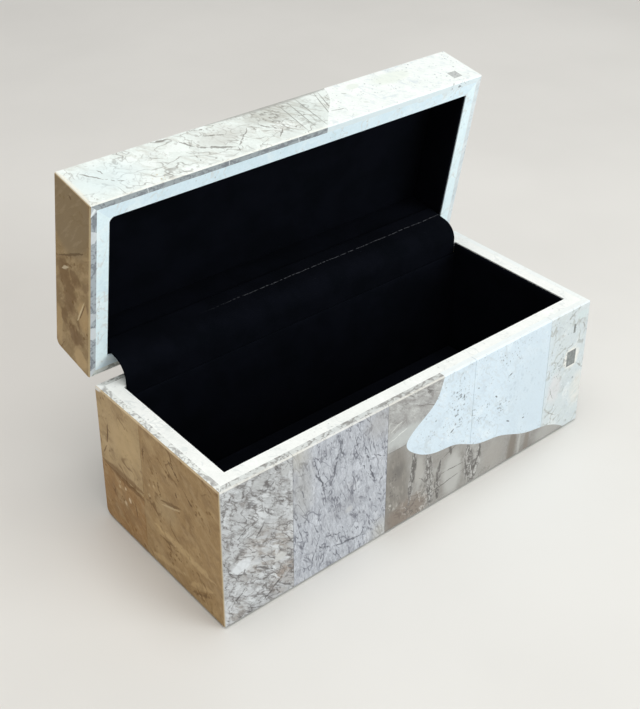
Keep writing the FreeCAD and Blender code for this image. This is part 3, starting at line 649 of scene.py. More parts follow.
def veined_stone(name, lid=False, face="front"):
    """Lavender-grey veined stone before its placed veins."""
    stone = Stone(name, (148, 149, 156), (174, 177, 184), (194, 197, 204), 12, lid, face, 0.3)
    stone.streaks(3.6, 30, 12, 0.4, (198, 201, 207), 0.5)
    stone.streaks(2.8, 24, -8, 0.34, (150, 151, 159), 0.5)
    stone.streaks(1.0, 9, 20, 0.34, (204, 207, 213), 0.55)
    stone.fragments(5.0, 0.16, (186, 189, 195), (210, 212, 217), 0.5, 4.5, 1.0, 10, 1.6)
    stone.crazing(5.0, 0.3, (112, 113, 122), 0.45, 4.5, 0.34, 10, 1.8)
    stone.veining(6, 0.026, (90, 91, 101), 0.8, 0.5, 14, 4.0)
    stone.veining(5, 0.03, (100, 101, 111), 0.75, 0.46, -8, 4.0)
    stone.veining(8, 0.022, (98, 99, 109), 0.7, 0.45, 40, 3.0)
    return stone


veined = veined_stone("veined_stone")
veined.patch((54, 0, 96), (14, 12, 18), (184, 180, 168), 0.6, 1.0, 9.0)
veined.patch((57, 0, 70), (12, 12, 30), (166, 165, 162), 0.55, 0.8, 9.0)
veined.patch((115, 0, 90), (16, 12, 16), (166, 164, 162), 0.55, 0.8, 9.0)
veined.patch((120, 0, 4), (17, 12, 18), (190, 187, 178), 0.6, 1.0, 9.0)
veined.patch((92, 0, 37), (3.4, 4, 3), (208, 208, 207), 0.7, 0.6, 5.0)
veined.patch((88, 0, 40), (20, 9, 8), (150, 151, 157), 0.4)
for start, end, width in (
    ((64, 0, 93), (74, 0, 56), 1.1),
    ((87, 0, 97), (75, 0, 52), 1.3),
    ((71, 0, 97), (76, 0, 78), 0.9),
    ((66, 0, 78), (74, 0, 62), 1.4),
    ((95, 0, 96), (101, 0, 68), 0.9),
    ((103, 0, 80), (114, 0, 42), 1.2),
    ((98, 0, 74), (108, 0, 54), 0.9),
    ((109, 0, 70), (121, 0, 62), 0.9),
    ((54, 0, 76), (60, 0, 58), 1.0),
    ((70, 0, 30), (62, 0, 8), 0.9),
    ((66, 0, 23), (82, 0, 14), 1.1),
    ((80, 0, 15), (106, 0, 10), 1.4),
    ((104, 0, 11), (120, 0, 18), 0.9),
    ((72, 0, 26), (90, 0, 22), 0.9),
    ((84, 0, 86), (88, 0, 80), 1.8),
):
    veined.stroke(start, end, 1.15 * width, VEIN, 0.85, 4.5, 0.88)
veined.sawn_rim(RIM_GREY, RIM_FLECK)
dress(veined.finish(0.28, ARRIS_CREAM, 0.55), "front_veined_tile")

# Upper and banded tiles, third on the front
# Two slabs of taupe limestone one above the other, their right edges fretted along the wave.
# The upper one is finely crackled. The lower one is calm between steep crackled bands.
upper = Stone("upper_limestone", (140, 137, 135), (164, 163, 161), (184, 184, 181), 10, grain=0.26)
rough_part = upper.area((146, 0, 93), (34, 12, 18), 0.5)
upper.streaks(3.0, 12, 60, 0.36, (136, 131, 129), 0.5, rough_part)
upper.streaks(2.0, 9, 50, 0.34, (202, 203, 201), 0.5, rough_part)
upper.crazing(4.6, 0.36, (106, 102, 99), 0.5, 3.6, 0.4, 55, 1.5, rough_part)
upper.veining(8, 0.024, (98, 94, 91), 0.75, 0.5, 60, 2.4, rough_part)
upper.patch((136, 0, 70), (26, 12, 9), (187, 190, 188), 0.75, 0.6, 6.0)
upper.stroke((122, 0, 70), (142, 0, 76), 1.2, (222, 223, 219), 0.7, 3.0, 0.85, 0.0)
upper.stroke((123, 0, 77), (134, 0, 82), 1.4, (212, 213, 208), 0.7, 3.0, 0.8, 0.0)
upper.stroke((124, 0, 74), (140, 0, 84), 0.8, (122, 118, 113))
upper.stroke((150, 0, 86), (164, 0, 80), 0.9, (120, 116, 112))
upper.sawn_rim(RIM_GREY, RIM_FLECK, 0.7)
dress(upper.finish(0.3, ARRIS_CREAM, 0.55), "front_upper_tile")

BAND = (92, 88, 84)
banded = Stone("banded_limestone", (134, 130, 125), (151, 148, 143), (166, 164, 160), 24, grain=0.16)
banded.patch((130, 0, 30), (13, 9, 44), (122, 116, 109), 0.8, 0.4, 5.0)
banded.streaks(2.2, 10, 10, 0.4, (152, 147, 139), 0.6, banded.area((130, 0, 30), (13, 9, 40)))
banded.patch((140, 0, 8), (24, 9, 15), (133, 120, 109), 0.8, 0.6, 14.0)
banded.veining(8, 0.04, (112, 101, 92), 0.7, 0.55, 70, 2.0, banded.area((142, 0, 10), (24, 9, 14)))
banded.specks(2.2, 1.7, (98, 94, 90), 0.7, 9.0, 0.6, banded.area((130, 0, 34), (10, 9, 30)))
banded.specks(3.0, 1.8, (198, 195, 188), 0.7, 9.0, 0.5, banded.area((127, 0, 26), (7, 9, 20)))
banded.patch((132, 0, 45), (7, 9, 9), (100, 96, 92), 0.7, 0.8)
foot = banded.area((152, 0, 12), (20, 9, 15), 0.5)
banded.crazing(5.0, 0.5, (206, 203, 197), 0.65, 5.0, 0.45, 20, 1.8, foot)
banded.crazing(6.5, 0.5, BAND, 0.75, 6.0, 0.5, -15, 2.0, foot)
banded.patch((180, 0, 18), (11, 9, 22), (184, 183, 179), 0.8, 0.5)
banded.patch((150, 0, 36), (5, 9, 16), (178, 175, 170), 0.6)
banded.patch((218, 0, 14), (14, 9, 16), (158, 153, 147), 0.7)
banded.patch((272, 0, 6), (18, 9, 9), (172, 170, 166), 0.6)
for start, end, breadth in (
    ((146, 0, 56), (142, 0, 12), 6.0),
    ((157, 0, 50), (161, 0, 2), 9.0),
    ((168, 0, 36), (167, 0, 0), 5.0),
    ((193, 0, 36), (198, 0, -2), 12.0),
    ((205, 0, 30), (200, 0, 2), 8.0),
):
    band = banded.line(start, end, breadth, 4.0, 0.85)
    banded.lay(band, (166, 163, 160), 0.55)
    banded.streaks(1.6, 9, 0, 0.42, (200, 199, 196), 0.7, band)
    banded.veining(5, 0.05, BAND, 0.9, 0.7, 0, 2.6, band)
    banded.crazing(3.4, 0.55, BAND, 0.85, 3.5, 0.6, 0, 1.8, band)
for start, end, width in (
    ((176, 0, 43), (178, 0, 34), 3.4),
    ((149, 0, 32), (169, 0, 6), 1.0),
    ((168, 0, 34), (184, 0, 41), 0.8),
    ((143, 0, 56), (145, 0, 36), 1.3),
    ((159, 0, 46), (159, 0, 26), 1.8),
    ((163, 0, 24), (168, 0, 1), 1.4),
    ((190, 0, 28), (196, 0, 4), 1.6),
    ((206, 0, 25), (199, 0, 8), 1.4),
):
    banded.stroke(start, end, width, BAND, 0.8, 3.5, 0.85)
for start, end in (((168, 0, 23), (191, 0, 22)), ((151, 0, 11), (191, 0, 16))):
    banded.stroke(start, end, 1.0, BAND, 0.85, 1.8, 1.0)
banded.stroke((239, 0, 30), (235, 0, -10), 10.0, (118, 108, 98), 0.8, 2.0, 0.98, 0.0)
banded.stroke((245, 0, 22), (243, 0, -6), 3.0, (184, 182, 178), 0.6, 2.0, 0.98, 0.0)
banded.stroke((253, 0, 24), (250, 0, -10), 6.0, (128, 119, 110), 0.75, 2.0, 0.98, 0.0)
dress(banded.finish(0.32, ARRIS_CREAM, 0.5), "front_banded_tile")

# White tiles of the front
# Three slabs of cool white fossil limestone, fretted to fit the wave and butted to each other.
# Fine dark pits gather in slanting bands, and the last slab is creamier, with greenish marks.
PIT = (112, 118, 122)


def white_stone(name, deep, middle, pale, lid=False, face="front"):
    """White fossil limestone before its placed marks."""
    stone = Stone(name, deep, middle, pale, 15, lid, face, 0.07)
    stone.veining(16, 0.03, (196, 206, 211), 0.6, 0.45, 30, 1.6)
    stone.streaks(2.2, 8, 40, 0.32, (200, 209, 214), 0.5)
    stone.specks(1.6, 1.0, (150, 158, 163), 0.6, 9.0, 0.46)
    stone.specks(4.4, 1.2, (122, 128, 132), 0.65, 24.0, 0.45)
    stone.specks(3.2, 1.8, (236, 241, 243), 0.5, 14.0, 0.4)
    return stone


white = white_stone("white_stone", (200, 213, 223), (210, 224, 234), (221, 232, 239))
white.patch((256, 0, 50), (50, 9, 80), (202, 215, 224), 0.75, 0.9)
white.specks(1.7, 1.5, PIT, 0.85, 8.0, 0.7, white.area((181, 0, 70), (11, 9, 28), 0.7))
white.specks(1.8, 1.5, PIT, 0.8, 9.0, 0.7, white.area((225, 0, 48), (13, 9, 10), 0.7))
white.specks(1.7, 1.2, PIT, 0.75, 9.0, 0.6, white.area((230, 0, 88), (22, 9, 12), 0.7))
white.specks(1.7, 1.2, PIT, 0.75, 9.0, 0.6, white.area((202, 0, 56), (14, 9, 12), 0.7))
white.specks(3.4, 2.6, (188, 202, 212), 0.6, 10.0, 0.6, white.area((240, 0, 66), (32, 9, 36), 0.7))
for start, end in (
    ((228, 0, 72), (231, 0, 73.5)),
    ((216, 0, 62), (218, 0, 60)),
    ((245, 0, 30.5), (247, 0, 30.5)),
    ((199, 0, 76), (200, 0, 75)),
    ((229, 0, 36), (232, 0, 34)),
    ((176, 0, 52), (179, 0, 54)),
    ((186, 0, 74), (187, 0, 77)),
):
    white.stroke(start, end, 1.3, (84, 90, 94), 0.9, 0.8, 1.0, 0.6)
WHITE_ARRIS = (228, 235, 238)
WHITE_RIM = (238, 242, 240)
white.plain_rim(WHITE_RIM)
dress(white.finish(0.34, WHITE_ARRIS, 0.5), "front_white_left_tile", "front_white_middle_tile")

GREEN_GREY = (162, 163, 157)
cream = white_stone("cream_white_stone", (191, 198, 200), (204, 211, 213), (219, 223, 223))
cream.patch((264, 0, 60), (16, 9, 60), (207, 218, 225), 0.7, 0.9)
cream.veining(10, 0.035, GREEN_GREY, 0.7, 0.46, -40, 1.6)
cream.patch((276, 0, 40), (9, 9, 16), (218, 212, 212), 0.5)
cream.patch((300, 0, 30), (9, 9, 18), (224, 220, 212), 0.6)
cream.streaks(2.0, 9, -50, 0.34, (198, 206, 204), 0.6)
cream.patch((298, 0, 91), (7, 9, 4), (204, 216, 216), 0.7, 0.3)
cream.patch((290.5, 0, 59), (9.0, 8, 9.6), (232, 229, 222), 0.85, 0.35, 4.0)
cream.specks(1.7, 1.3, PIT, 0.7, 9.0, 0.6, cream.area((278, 0, 62), (12, 9, 22), 0.6))
for start, end, width in (
    ((281, 0, 68), (285, 0, 53), 1.4),
    ((282, 0, 68), (292, 0, 71), 1.0),
    ((297, 0, 52), (304, 0, 46), 1.8),
    ((299, 0, 84), (304, 0, 76), 1.2),
    ((268, 0, 24), (284, 0, 14), 1.0),
    ((280, 0, 90), (292, 0, 96), 1.2),
    ((270, 0, 44), (276, 0, 30), 1.0),
):
    cream.stroke(start, end, 1.2 * width, (146, 146, 141), 0.8, 4.5)
cream.plain_rim(WHITE_RIM)
dress(cream.finish(0.34, WHITE_ARRIS, 0.5), "front_white_right_tile")

# Grey chips
# A small block and a sliver of dark grey marble let into the last white slab of the front, and
# a paler block into the lid's front: cut, glued in flush and polished with the face.
for name, node, deep, middle, pale, lid in (
    ("grey_chip", "front_grey_inserts", (108, 112, 111), (122, 126, 125), (142, 146, 144), False),
    ("pale_chip", "lid_front_insert", (156, 159, 158), (177, 180, 179), (192, 195, 193), True),
):
    chip = Stone(name, deep, middle, pale, 3.0, lid, grain=0.2)
    chip.specks(1.4, 0.9, (88, 90, 90), 0.5, 6.0, 0.5)
    chip.streaks(0.9, 5, 20, 0.32, (166, 169, 166), 0.5)
    dress(chip.finish(0.3, (170, 172, 170), 0.5), node)

# Left end of the base
# Three slabs of brown limestone: a wide one to the front and two behind it. Their warm brown is
# partly the stone's own colour and partly painted warm bounce light. They have dark lens-shaped
# cracks, a paler cloud behind, a light slanting streak at the front foot, and a band of painted
# shade along the joint between the two back slabs.
SHADE = (92, 62, 32)
PALE_STREAK = (210, 182, 136)


def brown_stone(name, deep, middle, pale, lid=False, face="end"):
    """Brown limestone before its placed marks; its warmth is partly painted warm bounce light."""
    stone = Stone(name, deep, middle, pale, 14, lid, face, 0.12)
    stone.streaks(9.0, 16, 60, 0.4, (138, 110, 74), 0.42)
    stone.streaks(7.0, 13, 50, 0.38, (188, 161, 119), 0.42)
    stone.streaks(1.6, 6, 60, 0.3, (188, 161, 119), 0.3)
    stone.veining(18, 0.022, (108, 76, 42), 0.6, 0.42, 50, 1.5)
    stone.specks(3.0, 1.9, (104, 74, 40), 0.55, 14.0, 0.4)
    stone.specks(6.0, 1.9, (224, 204, 166), 0.65, 30.0, 0.35)
    return stone


# The brown tones of these three slabs are partly painted warm bounce light.
left_front = brown_stone("brown_stone_front", (150, 120, 80), (166, 136, 93), (180, 151, 107))
left_front.patch((0, 55, 50), (8, 16, 12), (184, 160, 120), 0.5)
left_front.stroke((0, 60, 55), (0, 38, 62), 3.4, SHADE, 0.55, 3.0, 0.95)
left_front.stroke((0, 59, 52.5), (0, 39, 60), 2.0, (208, 188, 150), 0.6, 2.5, 0.85, 0.0)
left_front.stroke((0, 70, 32), (0, 6, 29), 7.0, PALE_STREAK, 0.5, 6.0, 0.75, 0.0)
left_front.stroke((0, 34, 10), (0, 10, 21), 7.0, PALE_STREAK, 0.4, 5.0, 0.75, 0.0)
left_front.stroke((0, 74, 6), (0, 40, 12), 6.0, PALE_STREAK, 0.35, 5.0, 0.8, 0.0)
for start, end, width, strength in (
    ((0, 51, 92), (0, 36, 79), 1.5, 0.75),
    ((0, 37, 80), (0, 20, 66), 1.4, 0.75),
    ((0, 22, 86), (0, 8, 91), 1.3, 0.65),
    ((0, 76, 86), (0, 76, 71), 2.0, 0.65),
    ((0, 64, 76), (0, 59, 56), 1.3, 0.6),
    ((0, 44, 72), (0, 42, 68), 2.6, 0.65),
    ((0, 66, 26), (0, 40, 27), 2.2, 0.5),
    ((0, 34, 30), (0, 8, 12), 1.8, 0.5),
    ((0, 36, 4), (0, 12, 14), 2.6, 0.45),
    ((0, 74, 52), (0, 70, 40), 1.4, 0.5),
    ((0, 14, 74), (0, 8, 60), 1.2, 0.5),
):
    left_front.stroke(start, end, 1.1 * width, SHADE, strength, 6.0)
BROWN_ARRIS = (214, 198, 168)
RIM_LIGHT = (233, 238, 236)
LIGHT_FLECK = (158, 157, 155)
left_front.sawn_rim(RIM_LIGHT, LIGHT_FLECK, 0.9)
dress(left_front.finish(0.46, BROWN_ARRIS, 0.5, 0.15), "left_front_tile")

left_upper = brown_stone("brown_stone_upper", (173, 146, 106), (185, 159, 118), (195, 170, 130))
left_upper.stroke((0, 115, 78), (0, 118, 60), 1.8, SHADE, 0.8, 2.0)
left_upper.stroke((0, 118, 60), (0, 124, 50), 1.3, SHADE, 0.6, 2.0)
left_upper.stroke((0, 104, 90), (0, 94, 86), 1.5, SHADE, 0.55, 4.0)
left_upper.patch((0, 96, 74), (8, 22, 18), (204, 177, 132), 0.6)
# A band of painted shade along the joint with the lower slab.
left_upper.stroke((0, 126, 45), (0, 79, 47), 7.0, (128, 96, 58), 0.75, 3.0, 0.98, 0.0)
left_upper.sawn_rim(RIM_LIGHT, LIGHT_FLECK, 0.9)
left_upper.patch((1, 125, 99), (5, 6, 3), (240, 242, 240), 0.9, 0.4, 2.0)
dress(left_upper.finish(0.46, BROWN_ARRIS, 0.5, 0.15), "left_upper_tile")

left_lower = brown_stone("brown_stone_lower", (145, 110, 68), (160, 124, 79), (173, 138, 93))
# A band of painted shade along the joint with the upper slab.
left_lower.stroke((0, 126, 46), (0, 79, 42), 8.0, (122, 90, 52), 0.75, 3.0, 0.98, 0.0)
for start, end in (
    ((0, 101, 38), (0, 99, 36)),
    ((0, 97, 32), (0, 95, 29)),
    ((0, 102, 27), (0, 100, 24)),
):
    left_lower.stroke(start, end, 3.0, (226, 208, 176), 0.8, 2.5, 1.0, 0.0)
left_lower.stroke((0, 90, 32), (0, 88, 22), 1.6, SHADE, 0.6, 2.0)
left_lower.stroke((0, 106, 34), (0, 96, 22), 5.0, (150, 122, 84), 0.5, 4.0, 0.9, 0.0)
dress(left_lower.finish(0.48, BROWN_ARRIS, 0.5, 0.15), "left_lower_tile")

# Right end and back of the base
# One white slab closes the right end. The back repeats the front more simply: a taupe, a veined
# and a white slab, the last two fretted to a wave. Their top back edges are worn round.
right_end = white_stone(
    "white_stone_end", (208, 216, 218), (219, 226, 227), (229, 233, 232), face="end"
)
right_end.veining(9, 0.04, GREEN_GREY, 0.5, 0.45, 50, 1.8)
right_end.stroke((305, 20, 70), (305, 64, 40), 1.6, (176, 183, 180), 0.6, 6.0)
right_end.stroke((305, 70, 84), (305, 110, 30), 1.4, (182, 188, 184), 0.6, 6.0)
right_end.plain_rim(WHITE_RIM)
dress(right_end.finish(0.34, WHITE_ARRIS, 0.5), "right_end_tile")

back_taupe = Stone("back_limestone", (142, 139, 133), (161, 157, 151), (177, 174, 169), 22, grain=0.14)
back_taupe.streaks(5.0, 40, 4, 0.4, (184, 180, 174), 0.5)
for start, end, breadth in (
    ((14, 127, 96), (32, 127, 30), 11.0),
    ((40, 127, 60), (34, 127, 2), 8.0),
    ((70, 127, 97), (54, 127, 26), 13.0),
    ((74, 127, 40), (80, 127, 4), 7.0),
):
    band = back_taupe.line(start, end, breadth, 9.0, 0.75)
    back_taupe.veining(5, 0.05, BAND, 0.85, 0.65, 0, 2.6, band)
    back_taupe.crazing(3.6, 0.55, BAND, 0.8, 3.5, 0.55, 0, 1.8, band)
back_taupe.sawn_rim(RIM_GREY, RIM_FLECK)
dress(back_taupe.finish(0.34, ARRIS_CREAM, 0.5), "back_left_tile")

back_veined = veined_stone("back_veined_stone")
for start, end in (
    ((110, 127, 94), (128, 127, 30)),
    ((150, 127, 96), (136, 127, 40)),
    ((172, 127, 80), (186, 127, 22)),
    ((118, 127, 22), (160, 127, 12)),
):
    back_veined.stroke(start, end, 1.3, VEIN, 0.75, 5.0)
back_veined.sawn_rim(RIM_GREY, RIM_FLECK)
dress(back_veined.finish(0.3, ARRIS_CREAM, 0.5), "back_middle_tile")

back_white = white_stone("white_stone_back", (204, 216, 223), (214, 226, 233), (225, 233, 237))
back_white.specks(1.7, 1.4, PIT, 0.8, 10.0, 0.65, back_white.area((262, 127, 60), (26, 9, 24), 0.7))
back_white.plain_rim(WHITE_RIM)
dress(back_white.finish(0.34, WHITE_ARRIS, 0.5), "back_white_tile")

# Rim strips
# Eight strips of plain white limestone, mitred at the corners, that cap the boards inside the
# tiles of base and lid. They are rubbed flat, duller than the faces, with a few pits. The lid's end
# strips are painted lighter than its front and back strips: painted light on the same stone.
for part, at, deep, middle, pale in (
    ("base", sides, (231, 234, 231), (238, 240, 237), (243, 245, 242)),
    ("lid", ("front", "back"), (212, 233, 241), (221, 239, 248), (231, 245, 250)),
    # Painted light: the lid's end strips are the same stone, coloured lighter.
    ("lid", ("left", "right"), (222, 241, 249), (231, 248, 253), (239, 251, 254)),
):
    strip = Stone(f"{part}_{at[0]}_rim_stone", deep, middle, pale, 12, part == "lid", "top", 0.06)
    strip.veining(9, 0.035, (214, 219, 218), 0.6, 0.45, 30, 1.5)
    strip.specks(2.2, 1.0, (176, 180, 178), 0.6, 14.0, 0.4)
    strip.specks(7.0, 1.3, (190, 188, 180), 0.6, 30.0, 0.45)
    dress(strip.finish(0.42, (240, 242, 240), 0.4), *(f"{part}_rim_{side}" for side in at))

# Front of the lid
# A slab of cream-grey crackled limestone and a white one, fretted along the same wave as below.
# Brown-grey veins cross the first; near the wave it is greener, with fine parallel lines.
LID_VEIN = (116, 112, 106)


def cream_stone(name):
    """Cream-grey crackled limestone of the lid before its placed veins."""
    stone = Stone(name, (202, 207, 203), (218, 225, 221), (232, 238, 235), 12, True, grain=0.12)
    stone.streaks(5.0, 16, 35, 0.38, (196, 196, 188), 0.5)
    stone.fragments(10.0, 0.3, (214, 221, 218), (234, 239, 236), 0.65, 7.0, 1.0)
    stone.crazing(10.0, 0.4, (162, 158, 151), 0.45, 7.0, 0.35)
    stone.veining(12, 0.018, (134, 130, 124), 0.7, 0.46, 40, 1.6)
    stone.veining(9, 0.018, (150, 147, 141), 0.6, 0.42, -30, 1.8)
    stone.veining(16, 0.011, (136, 133, 127), 0.7, 0.55, 75, 2.0)
    stone.specks(2.2, 1.4, (156, 154, 147), 0.6, 12.0, 0.42)
    return stone


lid_grey = cream_stone("lid_cream_stone")
lid_grey.patch((148, 0, 128), (30, 9, 13), (178, 179, 171), 0.6, 0.6, 9.0)
lid_grey.patch((104, 0, 122), (26, 9, 13), (190, 191, 185), 0.55, 0.7, 9.0)
lid_grey.patch((168, 0, 118), (17, 9, 24), (208, 216, 212), 0.65)
lid_grey.patch((22, 0, 118), (32, 9, 22), (212, 226, 228), 0.6, 0.8)
near_wave = lid_grey.area((152, 0, 122), (34, 9, 24))
lid_grey.streaks(2.0, 12, 40, 0.4, (168, 166, 157), 0.6, near_wave)
lid_grey.veining(6, 0.04, LID_VEIN, 0.7, 0.5, 40, 2.0, near_wave)
for start, end, width, kept in (
    ((8, 0, 132), (20, 0, 117), 2.0, 0.85),
    ((20, 0, 117), (33, 0, 107), 1.6, 0.85),
    ((20, 0, 128), (22, 0, 122), 1.2, 0.9),
    ((78, 0, 130), (84, 0, 118), 2.6, 0.75),
    ((83, 0, 119), (106, 0, 108), 3.0, 0.7),
    ((106, 0, 108), (124, 0, 123), 1.7, 0.8),
    ((92, 0, 129), (108, 0, 122), 1.6, 0.85),
    ((126, 0, 128), (126, 0, 116), 1.3, 0.85),
    ((128, 0, 124), (142, 0, 111), 1.5, 0.75),
    ((134, 0, 104), (143, 0, 113), 1.8, 0.75),
    ((138, 0, 132), (143, 0, 129), 1.8, 0.85),
    ((63, 0, 136), (74, 0, 135), 2.0, 0.85),
    ((92, 0, 136), (102, 0, 134), 1.7, 0.85),
    ((78, 0, 120), (78, 0, 101), 1.1, 0.7),
    ((106, 0, 108), (103, 0, 101), 1.1, 0.7),
):
    lid_grey.stroke(start, end, 0.9 * width, LID_VEIN, 0.8, 4.5, kept + 0.05)
for foot, top in ((154, 156), (161, 163), (169, 170), (176, 186), (180, 189)):
    lid_grey.stroke((foot, 0, 101), (top, 0, 137), 0.9, (124, 125, 119), 0.8, 0.8, 0.9)
lid_grey.specks(1.5, 1.3, (178, 150, 92), 0.75, 5.0, 0.7, lid_grey.area((48, 0, 104), (7, 6, 5)))
lid_grey.stroke((92, 0, 138), (214, 0, 138), 8.0, (150, 149, 144), 0.8, 1.0, 0.97, 0.0)
lid_grey.stroke((0, 0, 96), (0, 0, 142), 7.0, (228, 223, 208), 0.7, 2.0, 1.0, 0.0)
LID_RIM_GREY = (160, 168, 172)
LID_RIM_FLECK = (122, 126, 132)
lid_grey.sawn_rim(LID_RIM_GREY, LID_RIM_FLECK, 0.97)
for x in (36, 92, 144):
    lid_grey.stroke((x, -2, 99.5), (x + 2, 6, 99.5), 1.0, (214, 219, 222), 0.75, 1.0, 1.0, 0.0)
dress(lid_grey.finish(0.32, (226, 224, 214), 0.5), "lid_front_grey_tile")

lid_white = white_stone("lid_white_stone", (219, 225, 222), (228, 233, 230), (235, 238, 235), True)
lid_white.patch((246, 0, 127), (21, 9, 8), (217, 224, 214), 0.65, 0.5)
lid_white.patch((214, 0, 130), (6, 6, 4), (214, 221, 213), 0.75, 0.35)
lid_white.stroke((181, 0, 113), (193, 0, 110.5), 1.6, (146, 150, 147), 0.75, 3.0)
lid_white.stroke((201, 0, 127), (205, 0, 125), 1.6, (172, 176, 170), 0.75, 2.0)
lid_white.stroke((207, 0, 112), (211, 0, 109), 1.4, (180, 184, 178), 0.7, 2.0)
lid_white.plain_rim((222, 236, 242), 0.8)
lid_white.stroke((276, 0, 99.6), (280, 0, 99.6), 1.8, (44, 46, 48), 0.9, 0.6, 1.0)
lid_white.specks(1.5, 1.4, PIT, 0.85, 8.0, 0.8, lid_white.area((284, 2, 99.5), (11, 6, 5)))
dress(lid_white.finish(0.34, (236, 240, 238), 0.4), "lid_front_white_tile")

# Left end of the lid
# One slab of the brown limestone: a natural change of colour slants across it, darker to the
# back with lighter clouds, and its sawn rim is lavender-grey with white marks.
# Its warm brown, as on the base's left end, is partly painted warm bounce light.
lid_left = brown_stone("lid_brown_stone", (136, 111, 74), (152, 127, 87), (166, 142, 102), True)
for across, up, wide, tall in (
    (64, 128, 13, 8),
    (80, 121, 15, 8),
    (62, 116, 8, 6),
    (97, 127, 9, 6),
    (104, 114, 8, 11),
    (92, 109, 5, 5),
):
    lid_left.patch((0, across, up), (8, wide, tall), (116, 86, 46), 0.75, 0.45, 12.0)
lid_left.patch((0, 84, 106), (8, 14, 7), (186, 156, 110), 0.75, 0.4, 6.0)
lid_left.patch((0, 119, 109), (8, 9, 9), (192, 164, 120), 0.75, 0.4)
lid_left.patch((0, 108, 134), (8, 18, 5), (186, 158, 114), 0.7, 0.4)
lid_left.patch((0, 16, 122), (8, 36, 26), (138, 118, 86), 0.9, 0.25, 3.0)
paler_part = lid_left.area((0, 14, 122), (8, 34, 26), 0.3)
lid_left.streaks(3.0, 16, 50, 0.34, (160, 140, 108), 0.45, paler_part)
lid_left.stroke((0, 92, 113), (0, 72, 105), 1.6, (216, 198, 160), 0.8, 1.5, 1.0, 0.0)
lid_left.stroke((0, 90, 111), (0, 72, 103.5), 1.5, SHADE, 0.7, 1.5, 1.0)
lid_left.stroke((0, 63, 130), (0, 57, 122), 2.6, (216, 200, 168), 0.75, 3.0, 1.0, 0.0)
lid_left.stroke((0, 56, 134), (0, 36, 104), 2.0, (98, 74, 44), 0.75, 2.0, 0.9)
lid_left.stroke((0, 6, 122), (0, 8, 119), 2.0, SHADE, 0.6, 2.0)
lid_left.sawn_rim((174, 182, 188), LID_RIM_FLECK, 0.97)
sawn = lid_left.box["Sawn edge"]
lid_left.fragments(8.0, 0.3, (200, 205, 209), (232, 237, 240), 0.8, 5.0, 0.8, within=sawn)
lid_left.stroke((4.8, 1.0, 99.5), (0.2, 8.5, 99.5), 2.2, (238, 244, 246), 0.95, 1.0, 1.0, 0.0)
dress(lid_left.finish(0.46, (206, 188, 154), 0.55, 0.15), "lid_left_tile")

# Top, right end and back of the lid
# The same three stones over the top, a brown, a veined and a white slab along a wave, one white
# slab at the right end, and a cream-grey and a white slab at the back, worn at the top edge.
top_brown = brown_stone(
    "lid_top_brown_stone", (150, 122, 86), (166, 138, 100), (180, 153, 115), True, "top"
)
top_brown.stroke((14, 20, 138), (84, 96, 138), 4.0, PALE_STREAK, 0.5, 9.0, 0.75, 0.0)
top_brown.stroke((28, 112, 138), (94, 60, 138), 1.6, SHADE, 0.65, 7.0)
top_brown.stroke((20, 84, 138), (44, 70, 138), 4.0, SHADE, 0.7, 2.0, 1.0)
top_brown.patch((70, 30, 138), (28, 20, 8), (186, 162, 124), 0.6)
dress(top_brown.finish(0.42, BROWN_ARRIS, 0.5, 0.2), "lid_top_left_tile")

top_veined = veined_stone("lid_top_veined_stone", True, "top")
top_veined.fragments(9.0, 0.24, (186, 189, 194), (212, 215, 219), 0.75, 6.0, 1.0, 40, 1.4)
for start, end in (
    ((112, 10, 138), (132, 116, 138)),
    ((150, 6, 138), (140, 90, 138)),
    ((168, 120, 138), (184, 50, 138)),
    ((120, 70, 138), (196, 84, 138)),
):
    top_veined.stroke(start, end, 1.5, VEIN, 0.75, 7.0)
dress(top_veined.finish(0.3, ARRIS_CREAM, 0.5), "lid_top_middle_tile")

top_white = white_stone(
    "lid_top_white_stone", (208, 218, 222), (218, 227, 231), (228, 234, 236), True, "top"
)
top_white.patch((262, 50, 138), (26, 18, 8), (210, 219, 215), 0.6)
top_white.specks(1.7, 1.4, PIT, 0.8, 12.0, 0.65, top_white.area((262, 84, 138), (38, 28, 9), 0.7))
dress(
    top_white.finish(0.34, WHITE_ARRIS, 0.5),
    "lid_top_white_tile",
    "lid_right_tile",
    "lid_back_white_tile",
)

back_cream = cream_stone("lid_back_cream_stone")
for start, end in (
    ((30, 127, 134), (64, 127, 104)),
    ((96, 127, 104), (140, 127, 132)),
    ((170, 127, 130), (214, 127, 106)),
):
    back_cream.stroke(start, end, 2.2, LID_VEIN, 0.75, 6.0, 0.75)
dress(back_cream.finish(0.34, (226, 224, 214), 0.5), "lid_back_grey_tile")

# Hinges
# Two brass butt hinges let into the back rims: folded leaves on a plain pin, each leaf held by
# countersunk brass screws. The brass is drawn, a little brushed, and browner in cloudy patches.


def brass_finish(name, bright, dull, rough):
    material, tree, shader = new_material(name)
    place = put(tree, "ShaderNodeTexCoord").outputs["Object"]
    drawn = calc_vector(tree, "MULTIPLY", place, (90.0, 2600.0, 2600.0))
    lines = cloud(tree, drawn, 1.0, 3.0, 0.6)
    stain = cloud(tree, place, 260.0, 4.0, 0.65)
    tone = over(tree, fade(tree, stain, 0.42, 0.68), srgb(*bright), srgb(*dull))
    tone = over(tree, calc(tree, "MULTIPLY", lines, 0.25), tone, srgb(96, 72, 36))
    gloss = calc(tree, "ADD", calc(tree, "MULTIPLY", stain, 0.35), rough)
    normal = bump(tree, lines, 0.25, 0.1 * MM)
    join(tree, shader, Base_Color=tone, Roughness=gloss, Normal=normal, Metallic=1.0)
    return material


leaf_brass = brass_finish("drawn_brass", (206, 170, 98), (148, 112, 60), 0.18)
dress(leaf_brass, "base_hinge_leaves", "lid_hinge_leaves", "hinge_pins")
screw_brass = brass_finish("screw_brass", (196, 158, 88), (128, 96, 52), 0.24)
dress(screw_brass, "base_hinge_screws", "lid_hinge_screws")

